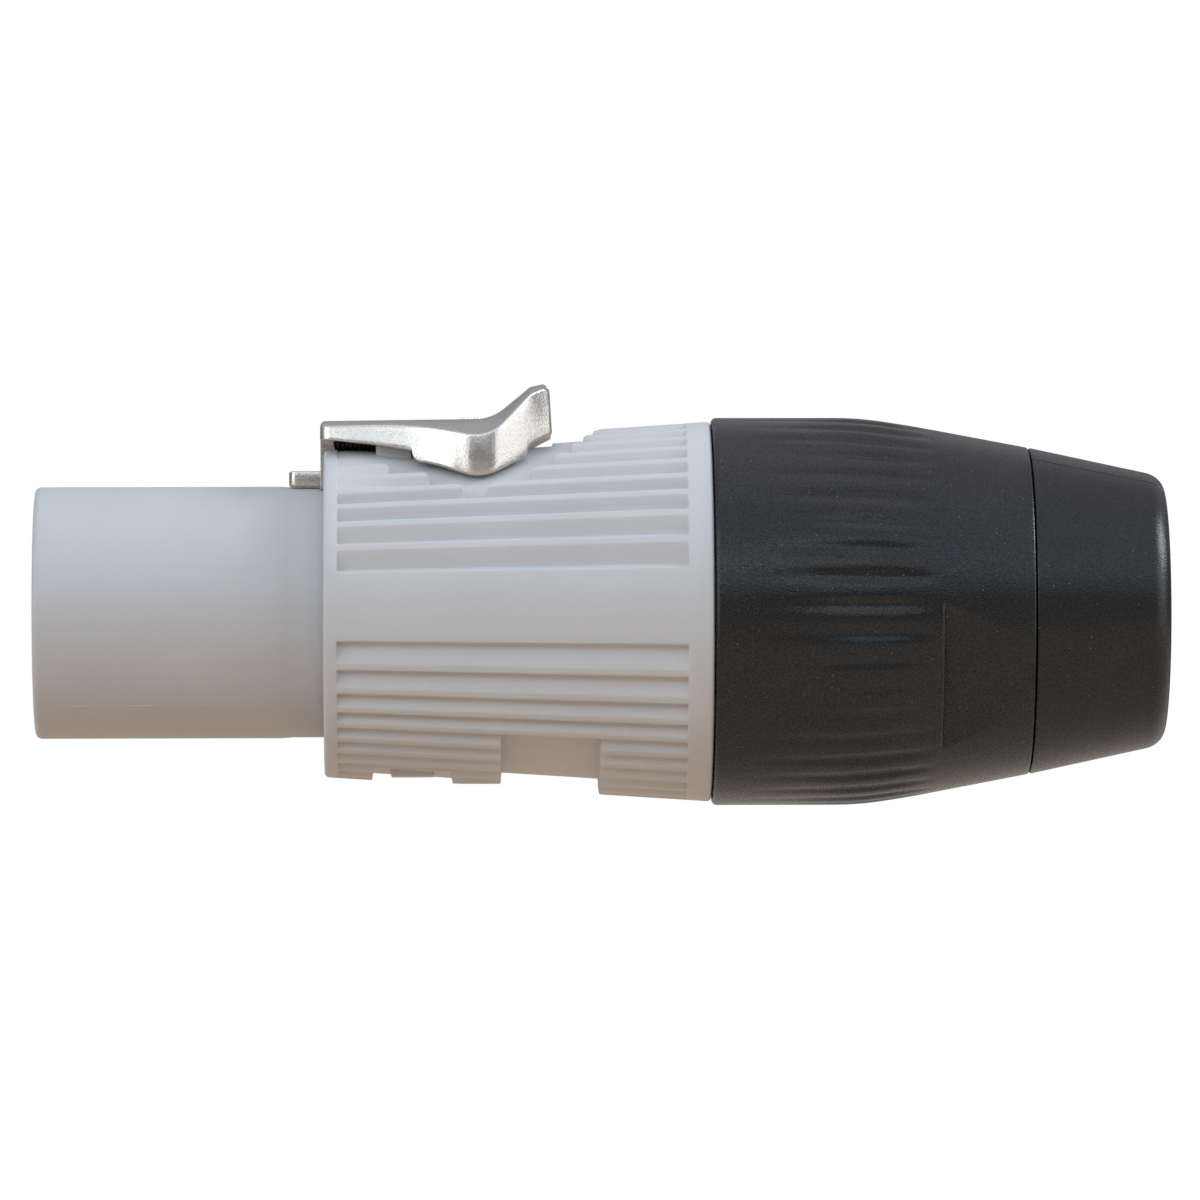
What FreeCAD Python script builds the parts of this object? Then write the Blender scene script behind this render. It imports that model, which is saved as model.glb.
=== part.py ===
import FreeCAD, Part
import math
import os
import re

import Sketcher
from FreeCAD import Placement, Rotation, Vector

# A three-contact locking mains connector for the end of a cable, in millimetres.
# X runs along the connector from the nose's front face to the cable end, and Z points up to the latch.
# The origin is the centre of the nose's front face.

SIZES = {
    # Insert: the nose tube, its core and the contact carrier behind it
    "nose_length": 20.25,
    "nose_radius": 8.83,
    "nose_land": 17.3,
    "nose_step": 0.06,
    "nose_ease": 0.7,
    "nose_wall": 1.45,
    "nose_round": 0.5,
    "socket_depth": 16.0,
    "core_radius": 5.4,
    "core_setback": 1.2,
    "flange_length": 2.6,
    "flange_fit": 0.1,
    "carrier_inset": 0.7,
    "carrier_length": 11.4,
    # Contacts and their screws
    "contact_circle": 4.5,
    "contact_fit": 0.1,
    "barrel_radius": 2.1,
    "barrel_length": 13.0,
    "barrel_proud": 1.0,
    "wire_bore": 1.3,
    "wire_depth": 8.0,
    "blade_circle": 3.9,
    "blade_width": 3.2,
    "blade_thickness": 1.0,
    "blade_setback": 1.0,
    "blade_slit": 0.5,
    "blade_slit_length": 6.0,
    "screw_radius": 1.2,
    "screw_length": 2.4,
    "screw_setback": 3.5,
    "screw_access": 0.3,
    # Housing
    "nose_fit": 0.13,
    "seat_step": 0.5,
    "seat_depth": 3.75,
    "shell_wall": 2.67,
    "housing_flare": 1.77,
    "housing_length": 27.05,
    "housing_round": 0.35,
    "front_ring": 0.95,
    "rear_ring": 1.8,
    "grip_depth": 0.6,
    "rib_depth": 0.45,
    "rib_rows": 10,
    "rib_land": 0.5,
    "rib_ledge": 0.28,
    "band_angle": 12,
    "window_setback": 12.35,
    "window_length": 6.85,
    "window_half": 8.8,
    "mark_setback": 3.35,
    "mark_length": 5.6,
    "mark_half": 3.85,
    "plate_inset": 1.3,
    "plate_height": 0.28,
    "belly_flat": 0.12,
    "clamp_setback": 2.4,
    "neck_step": 1.84,
    "neck_wall": 1.2,
    "neck_length": 8.5,
    # Channel and rail that the latch runs on
    "channel_web": 0.9,
    "rail_setback": 3.65,
    "rail_length": 9.6,
    "rail_neck": 0.7,
    "rail_neck_half": 1.2,
    "rail_head": 1.75,
    "rail_head_half": 1.9,
    "slide_gap": 0.2,
    "lip_gap": 0.15,
    "leg_wall": 0.45,
    "spring_bore": 0.7,
    "spring_depth": 4.0,
    "spring_lift": 0.8,
    "spring_gap": 0.05,
    "spring_wire": 0.24,
    "spring_turns": 4,
    "spring_sides": 4,
    # Latch
    "hook_proud": 0.25,
    "hook_thickness": 0.95,
    "hook_half": 2.5,
    "tongue_length": 2.2,
    "tongue_half": 1.8,
    "tongue_thickness": 0.92,
    "tongue_corner": 0.6,
    "tongue_gap": 0.18,
    "roof": 0.6,
    "top_slant": 0.12,
    "latch_length": 16.25,
    "tail_draft": 0.22,
    "latch_travel": 2.2,
    "arm_half": 4.6,
    "arm_drop": 1.6,
    "arm_slant": 0.5,
    "waist_radius": 18.0,
    "shoulder_half": 6.95,
    "shoulder_setback": 10.8,
    "shoulder_length": 1.5,
    "shoulder_round": 1.7,
    "tail_half": 3.9,
    "tail_radius": 8.6,
    "tail_corner": 0.5,
    "skirt_setback": 6.5,
    "skirt_length": 8.0,
    "tail_drop": 1.7,
    "thumb_setback": 10.4,
    "thumb_run": 3.0,
    "thumb_rise": 1.13,
    "thumb_radius": 4.6,
    "lip_rise": 2.5,
    "lip_run": 1.65,
    "lip_fall": 0.44,
    "lip_round": 1.95,
    "arrow_length": 2.0,
    "arrow_half": 1.2,
    "arrow_height": 0.2,
    "crown_radius": 20.0,
    "recess_margin": 2.45,
    "recess_waist": 20.0,
    "recess_shoulder": 6.0,
    "recess_tail": 8.0,
    "recess_gap": 1.0,
    # Bushing
    "seam_gap": 0.1,
    "bushing_proud": 0.26,
    "bushing_length": 22.25,
    "bushing_drop": 2.13,
    "bushing_round": 0.25,
    "shoulder_start": 10.4,
    "shoulder_end": 14.0,
    "cone_slope": 0.19,
    "flute_rows": 42,
    "flute_radius": 1.25,
    "flute_sides": 8,
    "flute_setback": 1.6,
    "flute_angle": 2.4,
    "flat_setback": 6.55,
    "flat_cut": 0.1,
    "flat_angle": 25,
    "thread_gap": 0.15,
    "nut_length": 9.6,
    "clamp_lead": 0.5,
    "clamp_length": 9.5,
    "clamp_drop": 1.9,
    "spigot_wall": 0.7,
    "spigot_length": 2.5,
    # Chuck
    "chuck_fit": 0.2,
    "chuck_seat": 0.1,
    "chuck_wall": 2.2,
    "chuck_base": 4.5,
    "chuck_grip": 7.4,
    "chuck_slits": 8,
    "slit_width": 1.2,
    # Boot
    "boot_gap": 0.05,
    "boot_length": 9.5,
    "boot_drop": 2.05,
    "boot_round": 1.7,
    "boot_lip": 1.1,
}

# Places and radii that follow from the sizes, each named once and shared by the pieces that meet there.
PLACES = {
    "nose_root": "nose_radius - nose_step",
    "socket_radius": "nose_radius - nose_wall",
    "bore_radius": "nose_root + nose_fit",
    "cavity_radius": "bore_radius + seat_step",
    "front_radius": "bore_radius + shell_wall",
    "rear_radius": "front_radius + housing_flare",
    "neck_radius": "rear_radius - neck_step",
    "clamp_bore": "neck_radius - neck_wall",
    "housing_front": "nose_length",
    "housing_rear": "nose_length + housing_length",
    "grip_front": "housing_front + front_ring",
    "grip_rear": "housing_rear - rear_ring",
    "mark_front": "housing_front + mark_setback",
    "mark_rear": "mark_front + mark_length",
    "seat_face": "housing_front + seat_depth",
    "clamp_seat": "housing_rear - clamp_setback",
    "neck_rear": "housing_rear + neck_length",
    "taper": "housing_flare / housing_length",
    "flange_radius": "cavity_radius - flange_fit",
    "carrier_radius": "flange_radius - carrier_inset",
    "carrier_rear": "seat_face + flange_length + carrier_length",
    "barrel_front": "carrier_rear + barrel_proud - barrel_length",
    "screw_place": "carrier_rear - screw_setback",
    "channel_floor": "cavity_radius + channel_web",
    "rail_under": "channel_floor + rail_neck",
    "rail_top": "rail_under + rail_head",
    "rail_front": "housing_front + rail_setback",
    "leg_half": "rail_head_half + slide_gap + leg_wall",
    "channel_half": "leg_half + slide_gap",
    "spring_height": "rail_under + spring_lift",
    "spring_seat": "rail_front + spring_depth",
    "latch_front": "housing_front - hook_proud",
    "latch_rear": "latch_front + latch_length",
    "latch_ceiling": "rail_top + slide_gap",
    "latch_top": "latch_ceiling + roof",
    "hook_rear": "latch_front + hook_thickness",
    "tongue_floor": "nose_root + tongue_gap",
    "skirt_front": "latch_front + skirt_setback",
    "skirt_rear": "skirt_front + skirt_length",
    "leg_rear": "rail_front + rail_length + 2 * slide_gap",
    "channel_rear": "leg_rear + latch_travel + slide_gap",
    "shoulder_front": "latch_front + shoulder_setback",
    "shoulder_rear": "shoulder_front + shoulder_length",
    "thumb_front": "latch_front + thumb_setback",
    "lip_top": "latch_top + lip_rise",
    "bushing_front": "housing_rear + seam_gap",
    "bushing_rear": "bushing_front + bushing_length",
    "bushing_radius": "rear_radius + bushing_proud",
    "cone_radius": "bushing_radius - bushing_drop",
    "nut_bore": "neck_radius + thread_gap",
    "chuck_radius": "clamp_bore - chuck_fit",
    "clamp_front": "bushing_front + nut_length",
    "clamp_radius": "chuck_radius + clamp_lead",
    "throat_radius": "clamp_radius - clamp_drop",
    "clamp_slope": "clamp_drop / clamp_length",
    "spigot_radius": "throat_radius + spigot_wall",
    "boot_front": "bushing_rear + boot_gap",
    "boot_rear": "boot_front + boot_length",
}


def bound(text):
    """Return an expression on the sheet for text written with the names above."""

    def swap(match):
        word = match.group(0)
        if word in SIZES:
            return f"Sizes.{word}"
        if word in PLACES:
            return f"({bound(PLACES[word])})"
        return word

    return re.sub(r"[A-Za-z_]\w*", swap, text)


def skin(place):
    """Return the housing's outer radius at a place along it, before any grip is cut."""
    return f"(front_radius + ({place} - housing_front) * taper)"


def floor(place):
    """Return the radius of the grip's floor at a place along the housing."""
    return f"({skin(place)} - grip_depth)"


def make_sheet(doc):
    """Write the driving sizes to the document's sheet."""
    sheet = doc.addObject("Spreadsheet::Sheet", "Sizes")
    for row, (alias, value) in enumerate(SIZES.items(), start=1):
        sheet.set(f"A{row}", alias)
        sheet.set(f"B{row}", str(value))
        sheet.setAlias(f"B{row}", alias)
    doc.recompute()


def origin_part(body, role):
    """Return one of a body's own origin planes or axes."""
    return next(part for part in body.Origin.OriginFeatures if part.Role == role)


def new_sketch(body, name, plane, offset=None):
    """Add a sketch on an origin plane of the body, lifted along the plane's normal by an offset."""
    sketch = body.newObject("Sketcher::SketchObject", name)
    sketch.AttachmentSupport = [(origin_part(body, plane), "")]
    sketch.MapMode = "FlatFace"
    if offset:
        sketch.setExpression("AttachmentOffset.Base.z", bound(offset))
    return sketch


def pin(sketch, kind, element, end, expression):
    """Bind one coordinate of a sketch point to the sheet."""
    value = sketch.evalExpression(bound(expression))
    index = sketch.addConstraint(Sketcher.Constraint(kind, -1, 1, element, end, value))
    sketch.setExpression(f"Constraints[{index}]", bound(expression))


def arc_between(start, end, radius):
    """Return the shorter arc from start to end; a positive radius curves to the left of the way it runs."""
    chord = end - start
    side = Vector(-chord.y, chord.x, 0).normalize() * math.copysign(1, radius)
    centre = (start + end) * 0.5 + side * math.sqrt(radius * radius - chord.Length * chord.Length / 4)
    first, last = (start, end) if radius > 0 else (end, start)
    angles = [math.atan2((point - centre).y, (point - centre).x) for point in (first, last)]
    return Part.ArcOfCircle(Part.Circle(centre, Vector(0, 0, 1), abs(radius)), *angles)


def outline(sketch, corners, closed=True):
    """Draw an outline through corners, each (x, y) or (x, y, radius of the arc to the next corner)."""
    points = [Vector(*(sketch.evalExpression(bound(part)) for part in corner[:2]), 0) for corner in corners]
    ends = []
    first = sketch.GeometryCount
    sides = len(corners) if closed else len(corners) - 1
    for index in range(sides):
        start, end = points[index], points[(index + 1) % len(points)]
        if len(corners[index]) == 3:
            radius = sketch.evalExpression(bound(corners[index][2]))
            element = sketch.addGeometry(arc_between(start, end, radius))
            size = sketch.addConstraint(Sketcher.Constraint("Radius", element, abs(radius)))
            sketch.setExpression(f"Constraints[{size}]", bound(f"abs({corners[index][2]})"))
            ends.append((1, 2) if radius > 0 else (2, 1))
        else:
            element = sketch.addGeometry(Part.LineSegment(start, end))
            ends.append((1, 2))
        pin(sketch, "DistanceX", element, ends[-1][0], corners[index][0])
        pin(sketch, "DistanceY", element, ends[-1][0], corners[index][1])
    for index in range(sides if closed else sides - 1):
        following = (index + 1) % sides
        joint = (first + index, ends[index][1], first + following, ends[following][0])
        sketch.addConstraint(Sketcher.Constraint("Coincident", *joint))
    if not closed:
        pin(sketch, "DistanceX", first + sides - 1, ends[-1][1], corners[-1][0])
        pin(sketch, "DistanceY", first + sides - 1, ends[-1][1], corners[-1][1])


def circle(sketch, x, y, radius):
    """Draw a circle at a place, with its radius from the sheet."""
    numbers = [sketch.evalExpression(bound(part)) for part in (x, y, radius)]
    element = sketch.addGeometry(Part.Circle(Vector(numbers[0], numbers[1], 0), Vector(0, 0, 1), numbers[2]))
    pin(sketch, "DistanceX", element, 3, x)
    pin(sketch, "DistanceY", element, 3, y)
    size = sketch.addConstraint(Sketcher.Constraint("Radius", element, numbers[2]))
    sketch.setExpression(f"Constraints[{size}]", bound(radius))


def rectangle(sketch, low_x, low_y, high_x, high_y):
    """Draw an upright rectangle between two corners."""
    outline(sketch, [(low_x, low_y), (high_x, low_y), (high_x, high_y), (low_x, high_y)])


def revolve(body, name, corners, kind="Revolution"):
    """Turn a half section, drawn as (place along X, radius), about the connector's axis."""
    sketch = new_sketch(body, f"{name}_section", "XZ_Plane")
    outline(sketch, corners)
    feature = body.newObject(f"PartDesign::{kind}", name)
    feature.Profile = sketch
    feature.ReferenceAxis = (sketch, ["H_Axis"])
    feature.Angle = 360
    return feature


def pad(body, name, sketch, length):
    """Raise a sketch along its plane's normal."""
    feature = body.newObject("PartDesign::Pad", name)
    feature.Profile = sketch
    feature.setExpression("Length", bound(length))
    return feature


def pocket(body, name, sketch, length, along_normal=True):
    """Cut a sketch into the body, along its plane's normal or against it."""
    feature = body.newObject("PartDesign::Pocket", name)
    feature.Profile = sketch
    feature.Reversed = along_normal
    feature.setExpression("Length", bound(length))
    return feature


def pocket_through(body, name, sketch):
    """Cut a sketch through the whole body, to both sides of its plane."""
    feature = body.newObject("PartDesign::Pocket", name)
    feature.Profile = sketch
    feature.Type = "ThroughAll"
    feature.Midplane = True
    return feature


def repeat_round(body, name, originals, rows):
    """Repeat features about the connector's axis."""
    pattern = body.newObject("PartDesign::PolarPattern", name)
    pattern.Originals = originals
    pattern.Axis = (origin_part(body, "X_Axis"), [""])
    pattern.Angle = 360
    pattern.setExpression("Occurrences", bound(rows))
    body.Tip = pattern
    return pattern


def round_edges(body, name, wanted, radius):
    """Round the edges of the body's present shape that wanted accepts."""
    body.Document.recompute()
    base = body.Tip
    names = [f"Edge{index}" for index, edge in enumerate(base.Shape.Edges, start=1) if wanted(edge)]
    if not names:
        raise ValueError(f"{name} found no edge")
    feature = body.newObject("PartDesign::Fillet", name)
    feature.Base = (base, names)
    feature.setExpression("Radius", bound(radius))
    return feature


def upright_at(body, place, half):
    """Return a test for the upright edges at a place along X and a half width."""
    x = body.Tip.evalExpression(bound(place))
    y = body.Tip.evalExpression(bound(half))

    def wanted(edge):
        box = edge.BoundBox
        upright = box.XLength < 1e-4 and box.YLength < 1e-4
        at_place = math.isclose(box.XMin, x, abs_tol=1e-4)
        return upright and at_place and math.isclose(abs(box.YMin), y, abs_tol=1e-4)

    return wanted


def new_body(doc, name):
    """Add an empty body."""
    body = doc.addObject("PartDesign::Body", name)
    body.Label = name
    return body


def turn_about_axis(thing, angle):
    """Place a piece turned about the connector's axis by degrees."""
    thing.Placement = Placement(Vector(0, 0, 0), Rotation(Vector(1, 0, 0), angle))


def make_insert(doc):
    """The nose: a tube round a contact core, with a seating flange and the contact carrier behind it."""
    body = new_body(doc, "insert")
    revolve(body, "moulding", [
        ("core_setback", "0"),
        ("core_setback", "core_radius"),
        ("socket_depth", "core_radius"),
        ("socket_depth", "socket_radius"),
        ("0", "socket_radius"),
        ("0", "nose_radius - nose_round"),
        ("nose_round", "nose_radius"),
        ("nose_land", "nose_radius"),
        ("nose_land + nose_ease", "nose_root"),
        ("seat_face", "nose_root"),
        ("seat_face", "flange_radius"),
        ("seat_face + flange_length", "flange_radius"),
        ("seat_face + flange_length", "carrier_radius"),
        ("carrier_rear", "carrier_radius"),
        ("carrier_rear", "0"),
    ])
    blade_hole = new_sketch(body, "blade_hole_section", "YZ_Plane", "core_setback")
    rectangle(
        blade_hole,
        "-blade_width / 2 - contact_fit",
        "-blade_circle - blade_thickness / 2 - contact_fit",
        "blade_width / 2 + contact_fit",
        "-blade_circle + blade_thickness / 2 + contact_fit",
    )
    blade_cut = pocket(body, "blade_hole", blade_hole, "barrel_front - core_setback")
    barrel_hole = new_sketch(body, "barrel_hole_section", "YZ_Plane", "barrel_front")
    circle(barrel_hole, "0", "-contact_circle", "barrel_radius + contact_fit")
    barrel_cut = pocket(body, "barrel_hole", barrel_hole, "carrier_rear - barrel_front")
    screw_hole = new_sketch(body, "screw_hole_section", "XY_Plane", "-contact_circle")
    circle(screw_hole, "screw_place", "0", "screw_radius + screw_access")
    screw_cut = pocket(body, "screw_hole", screw_hole, "carrier_radius", along_normal=False)
    repeat_round(body, "contact_holes", [blade_cut, barrel_cut, screw_cut], "3")
    return body


def make_contact(doc, name, angle):
    """A forked brass contact with a screw barrel for the wire, turned to its place round the axis."""
    body = new_body(doc, name)
    barrel = new_sketch(body, "barrel_section", "YZ_Plane", "barrel_front")
    circle(barrel, "0", "-contact_circle", "barrel_radius")
    pad(body, "barrel", barrel, "barrel_length")
    blade = new_sketch(body, "blade_section", "YZ_Plane", "core_setback + blade_setback")
    rectangle(
        blade,
        "-blade_width / 2",
        "-blade_circle - blade_thickness / 2",
        "blade_width / 2",
        "-blade_circle + blade_thickness / 2",
    )
    pad(body, "blade", blade, "barrel_front - core_setback - blade_setback + blade_thickness")
    slit = new_sketch(body, "slit_section", "YZ_Plane", "core_setback + blade_setback")
    rectangle(
        slit,
        "-blade_slit / 2",
        "-blade_circle - blade_thickness",
        "blade_slit / 2",
        "-blade_circle + blade_thickness",
    )
    pocket(body, "slit", slit, "blade_slit_length")
    wire = new_sketch(body, "wire_section", "YZ_Plane", "barrel_front + barrel_length")
    circle(wire, "0", "-contact_circle", "wire_bore")
    pocket(body, "wire_hole", wire, "wire_depth", along_normal=False)
    screw = new_sketch(body, "screw_section", "XY_Plane", "-contact_circle")
    circle(screw, "screw_place", "0", "screw_radius + contact_fit")
    pocket(body, "screw_hole", screw, "barrel_radius + contact_fit", along_normal=False)
    turn_about_axis(body, angle)
    return body


def make_screws(doc, angles):
    """One set screw in each contact's barrel, pressing on the wire from outside."""
    screws = []
    for number, angle in enumerate(angles, start=1):
        body = new_body(doc, f"screw_{number}")
        shank = new_sketch(body, "shank_section", "XY_Plane", "-contact_circle - wire_bore")
        circle(shank, "screw_place", "0", "screw_radius")
        feature = pad(body, "shank", shank, "screw_length")
        feature.Reversed = True
        turn_about_axis(body, angle)
        screws.append(body)
    group = doc.addObject("Part::Compound", "terminal_screws")
    group.Label = "terminal_screws"
    group.Links = screws
    return group


def make_housing_core(doc):
    """The housing without its grip ribs: shell, neck, channel, rail and the slot for the latch's hook."""
    body = new_body(doc, "housing_core")
    revolve(body, "shell", [
        ("housing_front", "bore_radius"),
        ("housing_front", "front_radius - housing_round"),
        ("housing_front + housing_round", skin("(housing_front + housing_round)")),
        ("grip_front", skin("grip_front")),
        ("grip_front", floor("grip_front")),
        ("grip_rear", floor("grip_rear")),
        ("grip_rear", skin("grip_rear")),
        ("housing_rear", "rear_radius"),
        ("housing_rear", "neck_radius"),
        ("neck_rear", "neck_radius"),
        ("neck_rear", "clamp_bore"),
        ("clamp_seat", "clamp_bore"),
        ("clamp_seat", "cavity_radius"),
        ("seat_face", "cavity_radius"),
        ("seat_face", "bore_radius"),
    ])
    plate_base = floor("(mark_front + plate_inset)")
    plate = new_sketch(body, "plate_outline", "XY_Plane", f"-{plate_base} + channel_web")
    rectangle(
        plate,
        "mark_front + plate_inset",
        "-mark_half + plate_inset",
        "mark_rear - plate_inset",
        "mark_half - plate_inset",
    )
    plain_plate = pad(body, "plain_plate", plate, "channel_web + plate_height")
    plain_plate.Reversed = True

    channel = new_sketch(body, "channel_section", "YZ_Plane", "housing_front")
    rectangle(channel, "-channel_half", "channel_floor", "channel_half", "lip_top")
    pocket(body, "channel", channel, "channel_rear - housing_front")
    slot = new_sketch(body, "slot_section", "YZ_Plane", "housing_front")
    rectangle(slot, "-hook_half - slide_gap", "0", "hook_half + slide_gap", "lip_top")
    pocket(body, "hook_slot", slot, "hook_rear - housing_front + latch_travel + slide_gap")
    rail = new_sketch(body, "rail_section", "YZ_Plane", "rail_front")
    outline(rail, [
        ("-rail_neck_half", "channel_floor - channel_web / 2"),
        ("rail_neck_half", "channel_floor - channel_web / 2"),
        ("rail_neck_half", "rail_under"),
        ("rail_head_half", "rail_under"),
        ("rail_head_half", "rail_top"),
        ("-rail_head_half", "rail_top"),
        ("-rail_head_half", "rail_under"),
        ("-rail_neck_half", "rail_under"),
    ])
    pad(body, "rail", rail, "rail_length")
    spring = new_sketch(body, "spring_bore_section", "YZ_Plane", "rail_front")
    circle(spring, "0", "spring_height", "spring_bore")
    pocket(body, "spring_bore", spring, "spring_depth")
    return body


def rib_cut_section(body, name, place):
    """The section of one saw-tooth cut: a short ledge falling inward, then a long face rising to the skin."""
    sketch = new_sketch(body, name, "YZ_Plane", place)
    pitch = "((90 - band_angle) / rib_rows)"
    start = "band_angle"
    ledge = f"(band_angle + {pitch} * rib_ledge)"
    end = f"(band_angle + {pitch} - rib_land)"
    outer = skin(place)
    inner = f"({outer} - rib_depth)"
    beyond = f"({outer} + rib_depth)"
    reach = [(outer, start), (inner, ledge), (outer, end), (beyond, end), (beyond, start)]
    outline(sketch, [(f"{radius} * cos({angle})", f"{radius} * sin({angle})") for radius, angle in reach])
    return sketch


def make_grip(doc):
    """The saw-tooth grip: rows of ledges in all four quarters, open round the latch and at the window."""
    body = new_body(doc, "housing_grip")
    revolve(body, "grip_ring", [
        ("grip_front", f"{floor('grip_front')} - grip_depth"),
        ("grip_front", skin("grip_front")),
        ("grip_rear", skin("grip_rear")),
        ("grip_rear", f"{floor('grip_rear')} - grip_depth"),
    ])
    front = rib_cut_section(body, "rib_front", "grip_front")
    rear = rib_cut_section(body, "rib_rear", "grip_rear")
    cut = body.newObject("PartDesign::SubtractiveLoft", "rib_cut")
    cut.Profile = front
    cut.Sections = [rear]
    cut.Ruled = True
    rows = body.newObject("PartDesign::PolarPattern", "rib_rows")
    rows.Axis = (origin_part(body, "X_Axis"), [""])
    rows.setExpression("Angle", bound("(90 - band_angle) * (rib_rows - 1) / rib_rows"))
    rows.setExpression("Occurrences", bound("rib_rows"))
    below = body.newObject("PartDesign::Mirrored", "rib_below")
    below.MirrorPlane = (origin_part(body, "XY_Plane"), [""])
    across = body.newObject("PartDesign::Mirrored", "rib_across")
    across.MirrorPlane = (origin_part(body, "XZ_Plane"), [""])
    ribs = body.newObject("PartDesign::MultiTransform", "ribs")
    ribs.Originals = [cut]
    ribs.Transformations = [rows, below, across]
    body.Tip = ribs

    recess = new_sketch(body, "recess_outline", "XY_Plane")
    recess_rear = "(latch_rear + latch_travel + recess_gap)"
    turn = "(shoulder_rear + latch_travel)"
    tail = "(tail_half - recess_gap)"
    wide = "(shoulder_half + recess_margin)"
    outline(recess, [
        ("grip_front - front_ring", "-arm_half - recess_gap"),
        ("grip_front", "-arm_half - recess_gap", "-recess_waist"),
        ("shoulder_front", f"-{wide}", "recess_shoulder"),
        (turn, f"-{wide} + recess_gap", "recess_tail"),
        (recess_rear, f"-{tail}"),
        (recess_rear, tail, "recess_tail"),
        (turn, f"{wide} - recess_gap", "recess_shoulder"),
        ("shoulder_front", wide, "-recess_waist"),
        ("grip_front", "arm_half + recess_gap"),
        ("grip_front - front_ring", "arm_half + recess_gap"),
    ])
    pocket(body, "latch_recess", recess, "lip_top")
    window = new_sketch(body, "window_outline", "XY_Plane")
    window_front = "(housing_front + window_setback)"
    rectangle(window, window_front, "-window_half", f"{window_front} + window_length", "window_half")
    pocket(body, "window", window, "rear_radius", along_normal=False)
    mark = new_sketch(body, "mark_outline", "XY_Plane")
    rectangle(mark, "mark_front", "-mark_half", "mark_rear", "mark_half")
    pocket(body, "mark_recess", mark, "rear_radius", along_normal=False)
    belly = new_sketch(body, "belly_outline", "XY_Plane", f"-{skin('mark_rear')} + belly_flat")
    rectangle(belly, "mark_rear - front_ring", "-mark_half", f"{window_front} + front_ring", "mark_half")
    pocket(body, "belly_flat", belly, "rear_radius", along_normal=False)
    return body


def make_housing(doc):
    """The grey housing, one moulding: the core with its grip."""
    housing = doc.addObject("Part::Fuse", "housing")
    housing.Label = "housing"
    housing.Base = make_housing_core(doc)
    housing.Tool = make_grip(doc)
    return housing


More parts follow.
